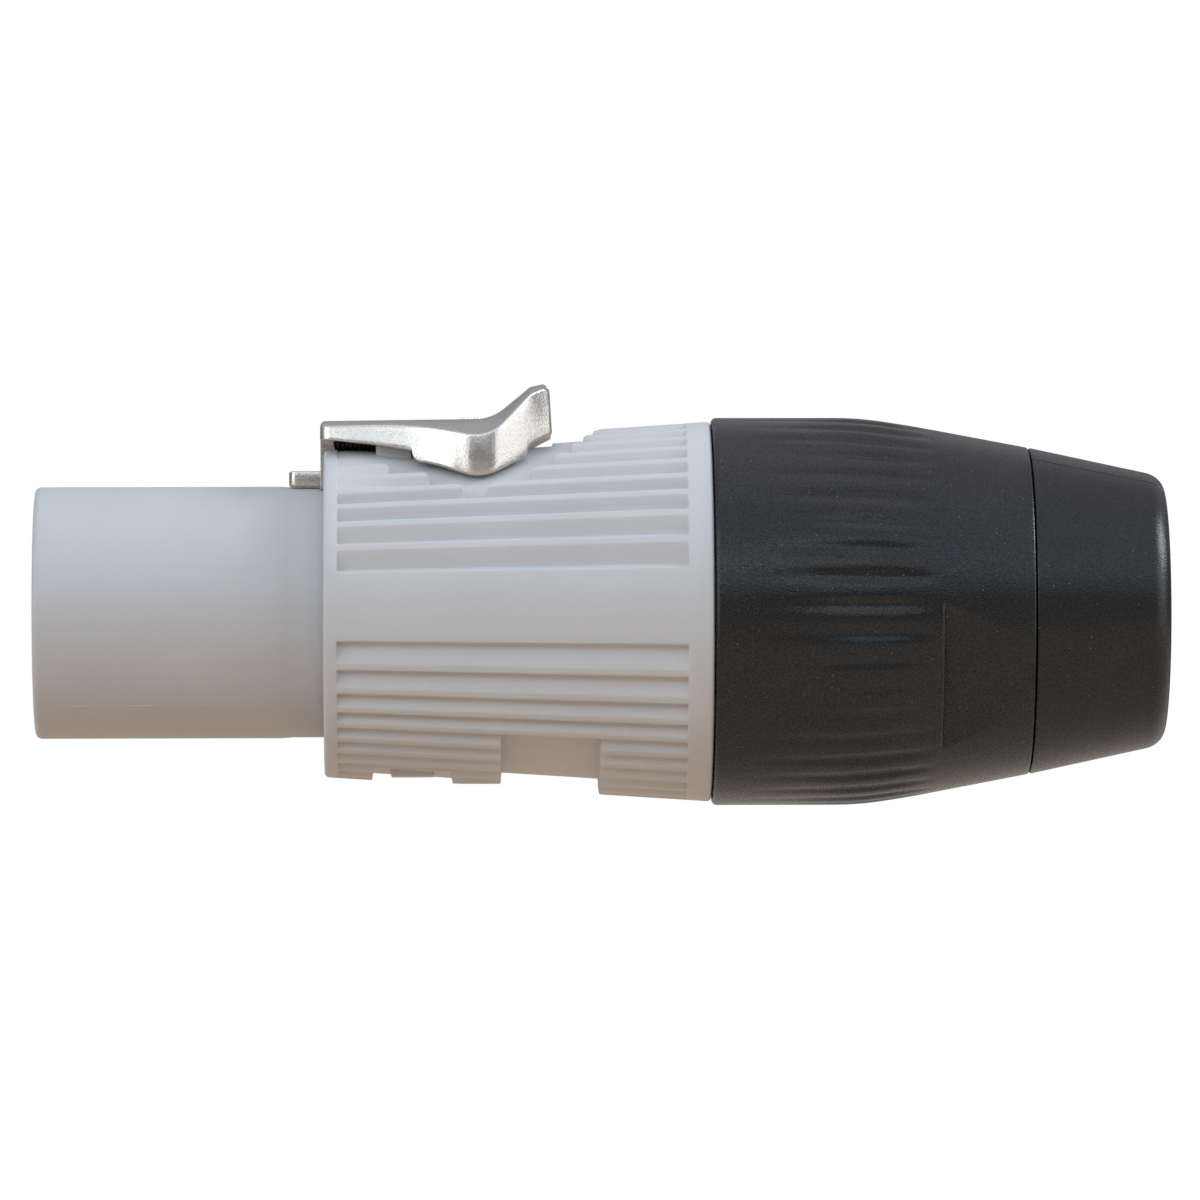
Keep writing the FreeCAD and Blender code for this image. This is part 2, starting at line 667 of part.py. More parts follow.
def make_latch(doc):
    """The die-cast latch: arm, flared thumb shoulders, raised thumb lip, hook plate and locking tongue."""
    body = new_body(doc, "latch")
    plan = new_sketch(body, "plan_outline", "XY_Plane", "tongue_floor")
    outline(plan, [
        ("latch_front", "-arm_half", "-waist_radius"),
        ("shoulder_front", "-shoulder_half", "shoulder_round"),
        ("shoulder_rear", "-shoulder_half", "tail_radius"),
        ("latch_rear", "-tail_half"),
        ("latch_rear", "tail_half", "tail_radius"),
        ("shoulder_rear", "shoulder_half", "shoulder_round"),
        ("shoulder_front", "shoulder_half", "-waist_radius"),
        ("latch_front", "arm_half"),
    ])
    pad(body, "blank", plan, "lip_top - tongue_floor")
    round_edges(body, "tail_corners", upright_at(body, "latch_rear", "tail_half"), "tail_corner")
    round_edges(body, "arm_corners", upright_at(body, "latch_front", "arm_half"), "tail_corner")

    path = new_sketch(body, "top_line", "XZ_Plane")
    outline(path, [
        ("latch_front", "latch_top - top_slant"),
        ("thumb_front", "latch_top", "thumb_radius"),
        ("thumb_front + thumb_run", "latch_top + thumb_rise"),
        ("latch_rear - lip_run", "lip_top - lip_fall", "-lip_round"),
        ("latch_rear", "lip_top"),
    ], closed=False)
    crown = new_sketch(body, "crown_section", "YZ_Plane", "latch_front")
    wide = "(shoulder_half + shoulder_round)"
    sag = f"(crown_radius - sqrt(crown_radius ^ 2 - {wide} ^ 2))"
    outline(crown, [
        (wide, f"latch_top - top_slant - {sag}"),
        (wide, "lip_top + latch_top"),
        (f"-{wide}", "lip_top + latch_top"),
        (f"-{wide}", f"latch_top - top_slant - {sag}", "-crown_radius"),
    ])
    top = body.newObject("PartDesign::SubtractivePipe", "crowned_top")
    top.Profile = crown
    top.Spine = path
    top.Mode = "Fixed"
    top.Transition = "Right corner"

    arrow = new_sketch(body, "arrow_outline", "XY_Plane", "latch_ceiling")
    outline(arrow, [
        ("thumb_front - arrow_length / 2", "-arrow_half"),
        ("thumb_front + arrow_length / 2", "0"),
        ("thumb_front - arrow_length / 2", "arrow_half"),
    ])
    pad(body, "pull_arrow", arrow, "roof + arrow_height")

    under = new_sketch(body, "under_outline", "XZ_Plane")
    beyond = "latch_length"
    outline(under, [
        (f"latch_front - {beyond}", "0"),
        ("skirt_front", "0"),
        ("skirt_front", "latch_top - arm_drop - arm_slant"),
        ("latch_front", "latch_top - arm_drop"),
        (f"latch_front - {beyond}", "latch_top - arm_drop"),
    ])
    outline(under, [
        ("skirt_rear", "0"),
        (f"latch_rear + {beyond}", "0"),
        (f"latch_rear + {beyond}", "lip_top + lip_rise"),
        ("latch_rear - 2 * tail_draft", "lip_top + lip_rise"),
        ("latch_rear", "latch_top - tail_drop"),
        ("skirt_rear", "latch_top - tail_drop - arm_slant"),
    ])
    pocket_through(body, "under_cut", under)
    skirt_lift = "lip_gap + latch_travel * taper"
    revolve(body, "skirt_cut", [
        ("latch_front", "0"),
        (f"latch_rear + {beyond}", "0"),
        (f"latch_rear + {beyond}", f"{floor(f'(latch_rear + {beyond})')} + {skirt_lift}"),
        ("latch_front", f"{floor('latch_front')} + {skirt_lift}"),
    ], kind="Groove")

    legs = new_sketch(body, "legs_section", "YZ_Plane", "skirt_front + slide_gap")
    rectangle(legs, "-leg_half", "channel_floor + lip_gap", "leg_half", "latch_ceiling + slide_gap")
    pad(body, "legs", legs, "leg_rear - skirt_front - slide_gap")
    hook = new_sketch(body, "hook_section", "YZ_Plane", "latch_front")
    rectangle(hook, "-hook_half", "tongue_floor - tongue_gap", "hook_half", "latch_ceiling + slide_gap")
    pad(body, "hook", hook, "hook_thickness")
    tongue = new_sketch(body, "tongue_outline", "XY_Plane", "tongue_floor - tongue_gap")
    rectangle(tongue, "latch_front - tongue_length", "-tongue_half", "hook_rear", "tongue_half")
    pad(body, "tongue", tongue, "tongue_thickness + tongue_gap")
    nose = new_sketch(body, "nose_section", "YZ_Plane", "latch_front - tongue_length")
    circle(nose, "0", "0", "tongue_floor")
    pocket(body, "nose_clearance", nose, "tongue_length + hook_thickness")
    hollow = new_sketch(body, "hollow_section", "YZ_Plane", "hook_rear")
    outline(hollow, [
        ("-rail_neck_half - lip_gap", "0"),
        ("rail_neck_half + lip_gap", "0"),
        ("rail_neck_half + lip_gap", "rail_under - lip_gap"),
        ("rail_head_half + slide_gap", "rail_under - lip_gap"),
        ("rail_head_half + slide_gap", "latch_ceiling"),
        ("-rail_head_half - slide_gap", "latch_ceiling"),
        ("-rail_head_half - slide_gap", "rail_under - lip_gap"),
        ("-rail_neck_half - lip_gap", "rail_under - lip_gap"),
    ])
    pocket(body, "hollow", hollow, "leg_rear - hook_rear")
    tip_corners = upright_at(body, "latch_front - tongue_length", "tongue_half")
    round_edges(body, "tongue_tip", tip_corners, "tongue_corner")
    return body


def make_spring(doc):
    """The compression spring between the hook plate and the bottom of the rail's bore."""
    coil = "(spring_bore - spring_gap - spring_wire / 2)"
    length = "(spring_seat - hook_rear - 2 * spring_gap - spring_wire)"
    helix = doc.addObject("Part::Helix", "spring_helix")
    helix.setExpression("Height", bound(length))
    helix.setExpression("Pitch", bound(f"{length} / spring_turns"))
    helix.setExpression("Radius", bound(coil))
    wire = doc.addObject("Part::RegularPolygon", "spring_wire_section")
    wire.setExpression("Polygon", bound("spring_sides"))
    wire.setExpression("Circumradius", bound("spring_wire / 2"))
    wire.setExpression("Placement.Base.x", bound(coil))
    wire.Placement.Rotation = Rotation(Vector(1, 0, 0), 90)
    spring = doc.addObject("Part::Sweep", "latch_spring")
    spring.Label = "latch_spring"
    spring.Sections = [wire]
    spring.Spine = (helix, ["Edge1"])
    spring.Solid = True
    spring.Frenet = True
    spring.Placement.Rotation = Rotation(Vector(0, 1, 0), 90)
    spring.setExpression("Placement.Base.x", bound("hook_rear + spring_gap + spring_wire / 2"))
    spring.setExpression("Placement.Base.z", bound("spring_height"))
    return spring


def make_bushing(doc):
    """The clamping nut: a plain front, fluted grip, cone and two wrench flats."""
    body = new_body(doc, "bushing")
    shoulder_radius = "(cone_radius + (bushing_length - shoulder_end) * cone_slope)"
    revolve(body, "nut", [
        ("bushing_front", "nut_bore"),
        ("bushing_front", "bushing_radius - bushing_round"),
        ("bushing_front + bushing_round", "bushing_radius"),
        ("bushing_front + shoulder_start", "bushing_radius"),
        ("bushing_front + shoulder_end", shoulder_radius),
        ("bushing_rear", "cone_radius"),
        ("bushing_rear", "spigot_radius"),
        ("bushing_rear + spigot_length", "spigot_radius"),
        ("bushing_rear + spigot_length", "throat_radius"),
        ("clamp_front + clamp_length", "throat_radius"),
        ("clamp_front", "clamp_radius"),
        ("clamp_front", "nut_bore"),
    ])
    flute = body.newObject("PartDesign::SubtractivePrism", "flute")
    flute.setExpression("Polygon", bound("flute_sides"))
    flute.setExpression("Circumradius", bound("flute_radius"))
    flute.setExpression("Height", bound("bushing_length"))
    flute.Placement.Rotation = Rotation(Vector(0, 1, 0), 90)
    flute.setExpression("Placement.Rotation.Angle", bound("90 + flute_angle"))
    flute.setExpression("Placement.Base.x", bound("bushing_front + flute_setback"))
    flute.setExpression("Placement.Base.z", bound("bushing_radius + flute_radius"))
    repeat_round(body, "flutes", [flute], "flute_rows")
    flat = body.newObject("PartDesign::SubtractiveBox", "flat")
    flat.setExpression("Length", bound("bushing_length"))
    flat.setExpression("Width", bound("2 * bushing_radius"))
    flat.setExpression("Height", bound("bushing_radius"))
    flat.Placement.Rotation = Rotation(Vector(1, 0, 0), 90)
    flat_turn = "(90 + flat_angle)"
    across = "(cone_radius - flat_cut)"
    flat.setExpression("Placement.Rotation.Angle", bound(flat_turn))
    flat.setExpression("Placement.Base.x", bound("bushing_rear - flat_setback"))
    corner_y = f"-{across} * sin{flat_turn} - bushing_radius * cos{flat_turn}"
    corner_z = f"{across} * cos{flat_turn} - bushing_radius * sin{flat_turn}"
    flat.setExpression("Placement.Base.y", bound(corner_y))
    flat.setExpression("Placement.Base.z", bound(corner_z))
    repeat_round(body, "flats", [flat], "2")
    return body


def make_boot(doc):
    """The soft end cap, pushed over the bushing's spigot, with the cable hole."""
    body = new_body(doc, "boot")
    edge_radius = "(cone_radius - boot_drop * (1 - boot_round / boot_length))"
    bevel = "boot_round * (1 - cos(45))"
    revolve(body, "cap", [
        ("boot_front", "spigot_radius + boot_gap"),
        ("boot_front", "cone_radius"),
        ("boot_rear - boot_round", edge_radius),
        (f"boot_rear - {bevel}", f"{edge_radius} - {bevel}"),
        ("boot_rear", f"{edge_radius} - boot_round"),
        ("boot_rear", "throat_radius - boot_lip"),
        ("bushing_rear + spigot_length + boot_gap", "throat_radius - boot_lip"),
        ("bushing_rear + spigot_length + boot_gap", "spigot_radius + boot_gap"),
    ])
    return body


def make_chuck(doc):
    """The cable clamp: a base ring with slit fingers that the bushing's inner cone squeezes."""
    body = new_body(doc, "chuck")
    lead = "((clamp_lead - chuck_fit) / clamp_slope)"
    revolve(body, "collet", [
        ("clamp_seat + chuck_seat", "chuck_radius - chuck_wall"),
        ("clamp_seat + chuck_seat", "chuck_radius"),
        (f"clamp_front + {lead}", "chuck_radius"),
        ("clamp_front + chuck_grip", "clamp_radius - chuck_fit - chuck_grip * clamp_slope"),
        ("clamp_front + chuck_grip", "chuck_radius - chuck_wall"),
    ])
    slit = new_sketch(body, "slit_section", "YZ_Plane", "clamp_seat + chuck_seat + chuck_base")
    rectangle(slit, "-slit_width / 2", "0", "slit_width / 2", "clamp_radius")
    cut = pocket(body, "slit", slit, "bushing_length")
    repeat_round(body, "slits", [cut], "chuck_slits")
    return body


def check(doc, pieces):
    """Stop if any object failed to build or any piece is empty or unsound."""
    for thing in doc.Objects:
        if "Invalid" in thing.State or "Error" in thing.State:
            raise RuntimeError(f"{thing.Name} did not build: {thing.State}")
    for piece in pieces:
        if piece.Shape.isNull() or not piece.Shape.isValid():
            raise RuntimeError(f"{piece.Label} has no sound shape")


def main():
    """Build the connector and write each piece to its own file."""
    doc = FreeCAD.newDocument("connector")
    make_sheet(doc)
    pieces = [
        make_insert(doc),
        make_contact(doc, "contact_earth", 0),
        make_contact(doc, "contact_line", 120),
        make_contact(doc, "contact_neutral", 240),
        make_screws(doc, (0, 120, 240)),
        make_housing(doc),
        make_latch(doc),
        make_spring(doc),
        make_chuck(doc),
        make_bushing(doc),
        make_boot(doc),
    ]
    doc.recompute()
    check(doc, pieces)
    os.makedirs("parts", exist_ok=True)
    for piece in pieces:
        piece.Shape.exportStep(f"parts/{piece.Label}.step")


main()
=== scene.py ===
import functools
import logging
import math
from collections.abc import Callable, Sequence
from dataclasses import dataclass
from enum import Enum
from typing import ClassVar

import bmesh
import bpy
import numpy as np
from mathutils import Matrix, Vector


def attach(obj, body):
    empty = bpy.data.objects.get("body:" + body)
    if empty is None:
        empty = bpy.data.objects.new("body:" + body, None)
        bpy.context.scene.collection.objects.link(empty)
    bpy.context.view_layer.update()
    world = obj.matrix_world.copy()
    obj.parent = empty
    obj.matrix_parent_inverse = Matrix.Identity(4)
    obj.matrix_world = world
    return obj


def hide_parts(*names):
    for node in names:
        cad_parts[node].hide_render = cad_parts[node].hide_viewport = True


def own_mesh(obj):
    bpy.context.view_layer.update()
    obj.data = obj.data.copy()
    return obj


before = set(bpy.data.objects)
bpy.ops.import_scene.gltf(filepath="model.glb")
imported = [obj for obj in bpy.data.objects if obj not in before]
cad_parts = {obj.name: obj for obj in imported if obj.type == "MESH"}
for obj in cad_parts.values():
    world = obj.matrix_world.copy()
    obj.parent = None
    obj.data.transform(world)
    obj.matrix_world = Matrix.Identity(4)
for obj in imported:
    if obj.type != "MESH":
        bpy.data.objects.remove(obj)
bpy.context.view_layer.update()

# A locking mains connector for a cable end. Sizes are in millimetres, turned into metres as meshes are made.
# X runs from the nose's front face to the cable end, Z points up to the latch, and the camera is on -Y.

logging.basicConfig(level=logging.INFO, format="%(message)s")
log = logging.getLogger("connector")

MM = 0.001
NOISE = (0.3, 0.7)  # where most of a noise's values lie
Corner = tuple[float, float, float]
Colour = tuple[float, float, float]
Spot = tuple[float, float, float]


class Carve(Enum):
    """How one solid works on another."""

    CUT = "DIFFERENCE"
    JOIN = "UNION"


class Curve(Enum):
    """How a value runs between two ends."""

    STRAIGHT = "LINEAR"
    SMOOTH = "SMOOTHSTEP"


class Body(Enum):
    """The moving bodies that pieces ride on."""

    HOUSING = "housing"
    LATCH = "latch"
    NUT = "clamping_nut"


class Slot(Enum):
    """The material slots."""

    INSERT = "insert_plastic"
    HOUSING = "housing_plastic"
    LATCH = "latch_metal"
    SPRING = "spring_steel"
    BUSHING = "bushing_plastic"
    BOOT = "boot_rubber"


# ---------------------------------------------------------------- mesh making


def rounded(corners: Sequence[Corner], steps: int = 5, closed: bool = True) -> np.ndarray:
    """Round each corner of an outline by its own radius.

    Args:
        corners: both places and the rounding of each corner.
        steps: facets on each rounded corner.
        closed: whether the last corner joins the first.

    Returns:
        The outline's points, a row each.
    """
    spots = np.array([corner[:2] for corner in corners], dtype=float)
    points: list[np.ndarray] = []
    for index, (_, _, radius) in enumerate(corners):
        spot = spots[index]
        if radius == 0.0 or (not closed and index in (0, len(corners) - 1)):
            points.append(spot)
            continue
        back = spots[index - 1] - spot
        ahead = spots[(index + 1) % len(corners)] - spot
        reach = 0.49 * min(np.linalg.norm(back), np.linalg.norm(ahead))
        back, ahead = back / np.linalg.norm(back), ahead / np.linalg.norm(ahead)
        half = math.acos(float(np.clip(back @ ahead, -1.0, 1.0))) / 2
        run = min(radius / math.tan(half), reach)
        size = run * math.tan(half)
        middle = spot + (back + ahead) / np.linalg.norm(back + ahead) * size / math.sin(half)
        first, last = spot + back * run - middle, spot + ahead * run - middle
        start = math.atan2(first[1], first[0])
        sweep = (math.atan2(last[1], last[0]) - start + math.pi) % (2 * math.pi) - math.pi
        turns = start + sweep * np.linspace(0.0, 1.0, steps + 1)
        points.extend(middle + size * np.column_stack((np.cos(turns), np.sin(turns))))
    return np.array(points)


def ease(share: float | np.ndarray) -> float | np.ndarray:
    """Return a smooth rise from 0 to 1, held beyond both ends."""
    held = np.clip(share, 0.0, 1.0)
    return held * held * (3.0 - 2.0 * held)


def round_end(count: int) -> np.ndarray:
    """Return shares from 0 to 1, close together at first, that follow a quarter circle."""
    return 1 - np.cos(np.linspace(0.0, math.pi / 2, count))


def spaced(points: np.ndarray, longest: float) -> np.ndarray:
    """Divide the long runs of a line.

    Args:
        points: the line's points.
        longest: the longest run that stays whole.

    Returns:
        The line with points added on its long runs.
    """
    rows: list[np.ndarray] = []
    for start, end in zip(points[:-1], points[1:]):
        parts = max(1, math.ceil(float(np.linalg.norm(end - start)) / longest))
        rows.extend(start + (end - start) * step / parts for step in range(parts))
    rows.append(points[-1])
    return np.array(rows)


def grid_faces(rows: int, columns: int, ring: bool = True) -> list[list[int]]:
    """List the four-sided faces over rows of points, each row a closed loop.

    Args:
        rows: number of loops.
        columns: points in each loop.
        ring: whether the last loop joins the first.

    Returns:
        Point numbers of each face.
    """
    row, column = np.meshgrid(np.arange(rows if ring else rows - 1), np.arange(columns), indexing="ij")
    below, right = (row + 1) % rows, (column + 1) % columns
    corners = (row * columns + column, below * columns + column, below * columns + right, row * columns + right)
    return np.stack(corners, axis=-1).reshape(-1, 4).tolist()


def shade(piece: bpy.types.Object, crease: float) -> None:
    """Shade a piece smoothly and keep the edges sharper than crease, in degrees, crisp."""
    piece.data.shade_smooth()
    piece.data.set_sharp_from_angle(angle=math.radians(crease))


def linked(name: str, data: bpy.types.ID) -> bpy.types.Object:
    """Put a mesh, lamp or camera into the scene as an object."""
    piece = bpy.data.objects.new(name, data)
    bpy.context.scene.collection.objects.link(piece)
    return piece


def poured(name: str, work: bmesh.types.BMesh) -> bpy.types.Object:
    """Turn worked faces into an object and free them."""
    mesh = bpy.data.meshes.new(name)
    work.to_mesh(mesh)
    work.free()
    return linked(name, mesh)


def solid(name: str, points: np.ndarray, faces: list[list[int]], crease: float = 35.0) -> bpy.types.Object:
    """Make a closed mesh object.

    Args:
        name: the object's name.
        points: places in millimetres.
        faces: point numbers of each face.
        crease: the angle, in degrees, from which an edge stays crisp.

    Returns:
        The new object.
    """
    mesh = bpy.data.meshes.new(name)
    mesh.from_pydata((points.reshape(-1, 3) * MM).tolist(), [], faces)
    work = bmesh.new()
    work.from_mesh(mesh)
    bmesh.ops.remove_doubles(work, verts=work.verts, dist=1e-7)
    bmesh.ops.recalc_face_normals(work, faces=work.faces)
    work.to_mesh(mesh)
    work.free()
    piece = linked(name, mesh)
    shade(piece, crease)
    return piece


def turned(
    name: str,
    profile: np.ndarray,
    angles: np.ndarray,
    swell: Callable[[np.ndarray, np.ndarray, np.ndarray], np.ndarray] | None = None,
    crease: float = 35.0,
) -> bpy.types.Object:
    """Turn a closed profile round the X axis.

    Args:
        name: the object's name.
        profile: places along X and radii.
        angles: degrees round the axis, from +Y towards +Z.
        swell: gives the radius to add, from places, radii and angles.
        crease: the angle from which an edge stays crisp.

    Returns:
        The new object.
    """
    around, along = np.meshgrid(angles, profile[:, 0], indexing="ij")
    radius = np.broadcast_to(profile[:, 1], along.shape)
    if swell is not None:
        radius = radius + swell(along, radius, around)
    turn = np.radians(around)
    points = np.stack((along, radius * np.cos(turn), radius * np.sin(turn)), axis=-1)
    return solid(name, points, grid_faces(len(angles), len(profile)), crease)


def lofted(name: str, sections: np.ndarray) -> bpy.types.Object:
    """Skin a row of closed sections and cap both ends.

    Args:
        name: the object's name.
        sections: points of each section, all of one length.

    Returns:
        The new object.
    """
    rows, columns = sections.shape[:2]
    faces = grid_faces(rows, columns, ring=False)
    faces.append(list(range(columns)))
    faces.append(list(range((rows - 1) * columns, rows * columns)))
    return solid(name, sections, faces)


def bar(name: str, low: Spot, high: Spot, rounding: float = 0.0) -> bpy.types.Object:
    """Make a block between two corners, with rounded edges.

    Args:
        name: the object's name.
        low: the corner with the lowest places.
        high: the corner with the highest places.
        rounding: radius of every edge.

    Returns:
        The new object.
    """
    work = bmesh.new()
    bmesh.ops.create_cube(work, size=1.0)
    middle = (Vector(low) + Vector(high)) / 2
    size = Vector(high) - Vector(low)
    for point in work.verts:
        point.co = Vector(middle[i] + point.co[i] * size[i] for i in range(3)) * MM
    if rounding:
        bmesh.ops.bevel(
            work, geom=work.edges, offset=rounding * MM, segments=3, profile=0.5, affect="EDGES", clamp_overlap=True
        )
    return poured(name, work)


def peg(name: str, start: Spot, end: Spot, radius: float, sides: int = 40) -> bpy.types.Object:
    """Make a round peg between two places, radius in millimetres."""
    low, high = Vector(start) * MM, Vector(end) * MM
    work = bmesh.new()
    place = Matrix.Translation((low + high) / 2) @ (high - low).to_track_quat("Z", "Y").to_matrix().to_4x4()
    bmesh.ops.create_cone(
        work, cap_ends=True, segments=sides, radius1=radius * MM, radius2=radius * MM,
        depth=(high - low).length, matrix=place,
    )
    return poured(name, work)


def carve(piece: bpy.types.Object, tool: bpy.types.Object, how: Carve, crease: float = 35.0) -> None:
    """Cut a tool from a piece or join it on, and throw the tool away.

    Args:
        piece: the object that is worked on.
        tool: the object that cuts or is joined.
        how: cut or join.
        crease: the angle from which an edge stays crisp.
    """
    work = piece.modifiers.new("carve", "BOOLEAN")
    work.operation = how.value
    work.solver = "EXACT"
    work.object = tool
    bpy.context.view_layer.update()
    made = bpy.data.meshes.new_from_object(piece.evaluated_get(bpy.context.evaluated_depsgraph_get()))
    piece.modifiers.clear()
    spent = (piece.data, tool.data)
    piece.data = made
    bpy.data.objects.remove(tool)
    for mesh in spent:
        bpy.data.meshes.remove(mesh)
    made.name = piece.name
    shade(piece, crease)


def mirrored(side: np.ndarray) -> np.ndarray:
    """Close a half section with its other half, across the middle plane."""
    return np.vstack((side, (side * (-1, 1))[::-1][1:-1]))


def ring_angles(step: float, seams: Sequence[float], shifts: Sequence[float]) -> np.ndarray:
    """List even angles round the axis, with more of them about each seam.

    Args:
        step: degrees between the even angles.
        seams: the seams' angles.
        shifts: degrees from a seam to the angles that are added.

    Returns:
        The angles in order.
    """
    finer = [seam + shift for seam in seams for shift in shifts]
    return np.unique(np.concatenate((np.arange(0.0, 360.0, step), finer)))


def seam_gap(around: np.ndarray, seams: Sequence[float]) -> np.ndarray:
    """Return how many degrees each angle is from the nearest seam."""
    return np.min([np.abs(around - seam) for seam in seams], axis=0)


def about_axis(tool: bpy.types.Object, angle: float) -> bpy.types.Object:
    """Turn a tool's mesh about the X axis by an angle in degrees."""
    tool.data.transform(Matrix.Rotation(math.radians(angle), 4, "X"))
    return tool


def fit(piece: bpy.types.Object, finish: bpy.types.Material, body: Body, slot: Slot, *nodes: str) -> None:
    """Dress a piece, put it on its body and let it stand for its solids.

    Args:
        piece: the object.
        finish: its material.
        body: the body that it rides on.
        slot: not used.
        nodes: the solids that it stands for.
    """
    piece.data.materials.clear()
    piece.data.materials.append(finish)
    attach(piece, body.value)
    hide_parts(*nodes)
    log.info("%s: %d faces", piece.name, len(piece.data.polygons))


# ---------------------------------------------------------------- finishes


class Graph:
    """Shader nodes, built up a few at a time."""

    def __init__(self, tree: bpy.types.NodeTree, coordinates: str) -> None:
        """Start on a tree of nodes, with one kind of coordinates at hand."""
        self.tree = tree
        self.place = self.add("TexCoord").outputs[coordinates]

    def feed(self, socket: bpy.types.NodeSocket, value: object) -> None:
        """Link a socket to another one, or give it a plain value or a colour."""
        if isinstance(value, bpy.types.NodeSocket):
            self.tree.links.new(value, socket)
        else:
            socket.default_value = (*value, 1.0) if isinstance(value, tuple) else value

    def add(self, kind: str, feeds: dict[str | int, object] | None = None, **settings: object) -> bpy.types.Node:
        """Add a node.

        Args:
            kind: its type.
            feeds: values or sockets for its inputs, by name or number.
            settings: its other properties.

        Returns:
            The new node.
        """
        node = self.tree.nodes.new("ShaderNode" + kind)
        for name, setting in settings.items():
            setattr(node, name, setting)
        for key, value in (feeds or {}).items():
            self.feed(node.inputs[key], value)
        return node

    def noise(self, size: float, detail: float = 2.0) -> bpy.types.NodeSocket:
        """Make a noise around a half, with lumps of about a size in millimetres."""
        feeds = {"Vector": self.place, "Scale": 1.0 / (size * MM), "Detail": detail}
        return self.add("TexNoise", feeds).outputs["Fac"]

    def ramp(self, value: bpy.types.NodeSocket, stops: Sequence[tuple[float, Colour]]) -> bpy.types.NodeSocket:
        """Turn a value into a colour.

        Args:
            value: the value to read.
            stops: places between 0 and 1 and their colours.

        Returns:
            The colour.
        """
        node = self.add("ValToRGB", {"Fac": value})
        while len(node.color_ramp.elements) < len(stops):
            node.color_ramp.elements.new(0.5)
        for element, (place, colour) in zip(node.color_ramp.elements, stops):
            element.position, element.color = place, (*colour, 1.0)
        return node.outputs["Color"]

    def span(
        self, value: bpy.types.NodeSocket, low: float, high: float, first: float = 0.0, last: float = 1.0, *,
        curve: Curve = Curve.SMOOTH,
    ) -> bpy.types.NodeSocket:
        """Map the values from low to high onto first to last, and hold them there beyond."""
        feeds = {"Value": value, "From Min": low, "From Max": high, "To Min": first, "To Max": last}
        return self.add("MapRange", feeds, interpolation_type=curve.value).outputs["Result"]

    def mix(self, share: object, under: object, over: object, way: str = "MIX") -> bpy.types.NodeSocket:
        """Mix two colours.

        Args:
            share: how much of the upper colour shows.
            under: the lower colour.
            over: the upper colour.
            way: how they mix.

        Returns:
            The mixed colour.
        """
        return self.add("Mix", {0: share, 6: under, 7: over}, data_type="RGBA", blend_type=way).outputs[2]

    def reckon(self, how: str, first: bpy.types.NodeSocket, second: bpy.types.NodeSocket) -> bpy.types.NodeSocket:
        """Work out one value from two."""
        return self.add("Math", {0: first, 1: second}, operation=how).outputs["Value"]

    def seen(self, *rays: str) -> bpy.types.NodeSocket:
        """Return 1 on these kinds of rays and 0 on the rest."""
        path = self.add("LightPath")
        kinds = [path.outputs[f"Is {ray} Ray"] for ray in rays]
        return functools.reduce(functools.partial(self.reckon, "MAXIMUM"), kinds)

    def specks(self, size: float, share: float, reach: float) -> bpy.types.NodeSocket:
        """Scatter small specks.

        Args:
            size: the width of a speck's cell, in millimetres.
            share: the part of the cells that hold a speck.
            reach: the speck's radius as a part of its cell.

        Returns:
            1 on a speck and 0 elsewhere.
        """
        cells = self.add("TexVoronoi", {"Vector": self.place, "Scale": 1.0 / (size * MM)})
        dot = self.span(cells.outputs["Distance"], reach * 0.5, reach, 1.0, 0.0)
        pick = self.add("SeparateColor", {"Color": cells.outputs["Color"]})
        held = self.span(pick.outputs["Red"], 1.0 - share - 0.02, 1.0 - share)
        return self.reckon("MULTIPLY", dot, held)


class Coat(Graph):
    """A material's nodes, round its shader."""

    def __init__(self, name: str) -> None:
        """Start a material with its shader and its object coordinates."""
        self.material = bpy.data.materials.new(name)
        self.material.use_nodes = True
        super().__init__(self.material.node_tree, "Object")
        self.shader = self.tree.nodes["Principled BSDF"]

    def bump(self, height: bpy.types.NodeSocket, relief: float) -> bpy.types.NodeSocket:
        """Return the normal of a surface that a value raises by up to a relief in millimetres."""
        return self.add("Bump", {"Strength": 1.0, "Distance": relief * MM, "Height": height}).outputs["Normal"]

    def finished(self, looks: dict[str, object]) -> bpy.types.Material:
        """Give the shader its looks, by socket, and return the material."""
        for name, value in looks.items():
            self.feed(self.shader.inputs[name], value)
        return self.material


def tinted(colour: Colour, factor: float) -> Colour:
    """Return a colour made lighter or darker by a factor."""
    return tuple(min(1.0, part * factor) for part in colour)


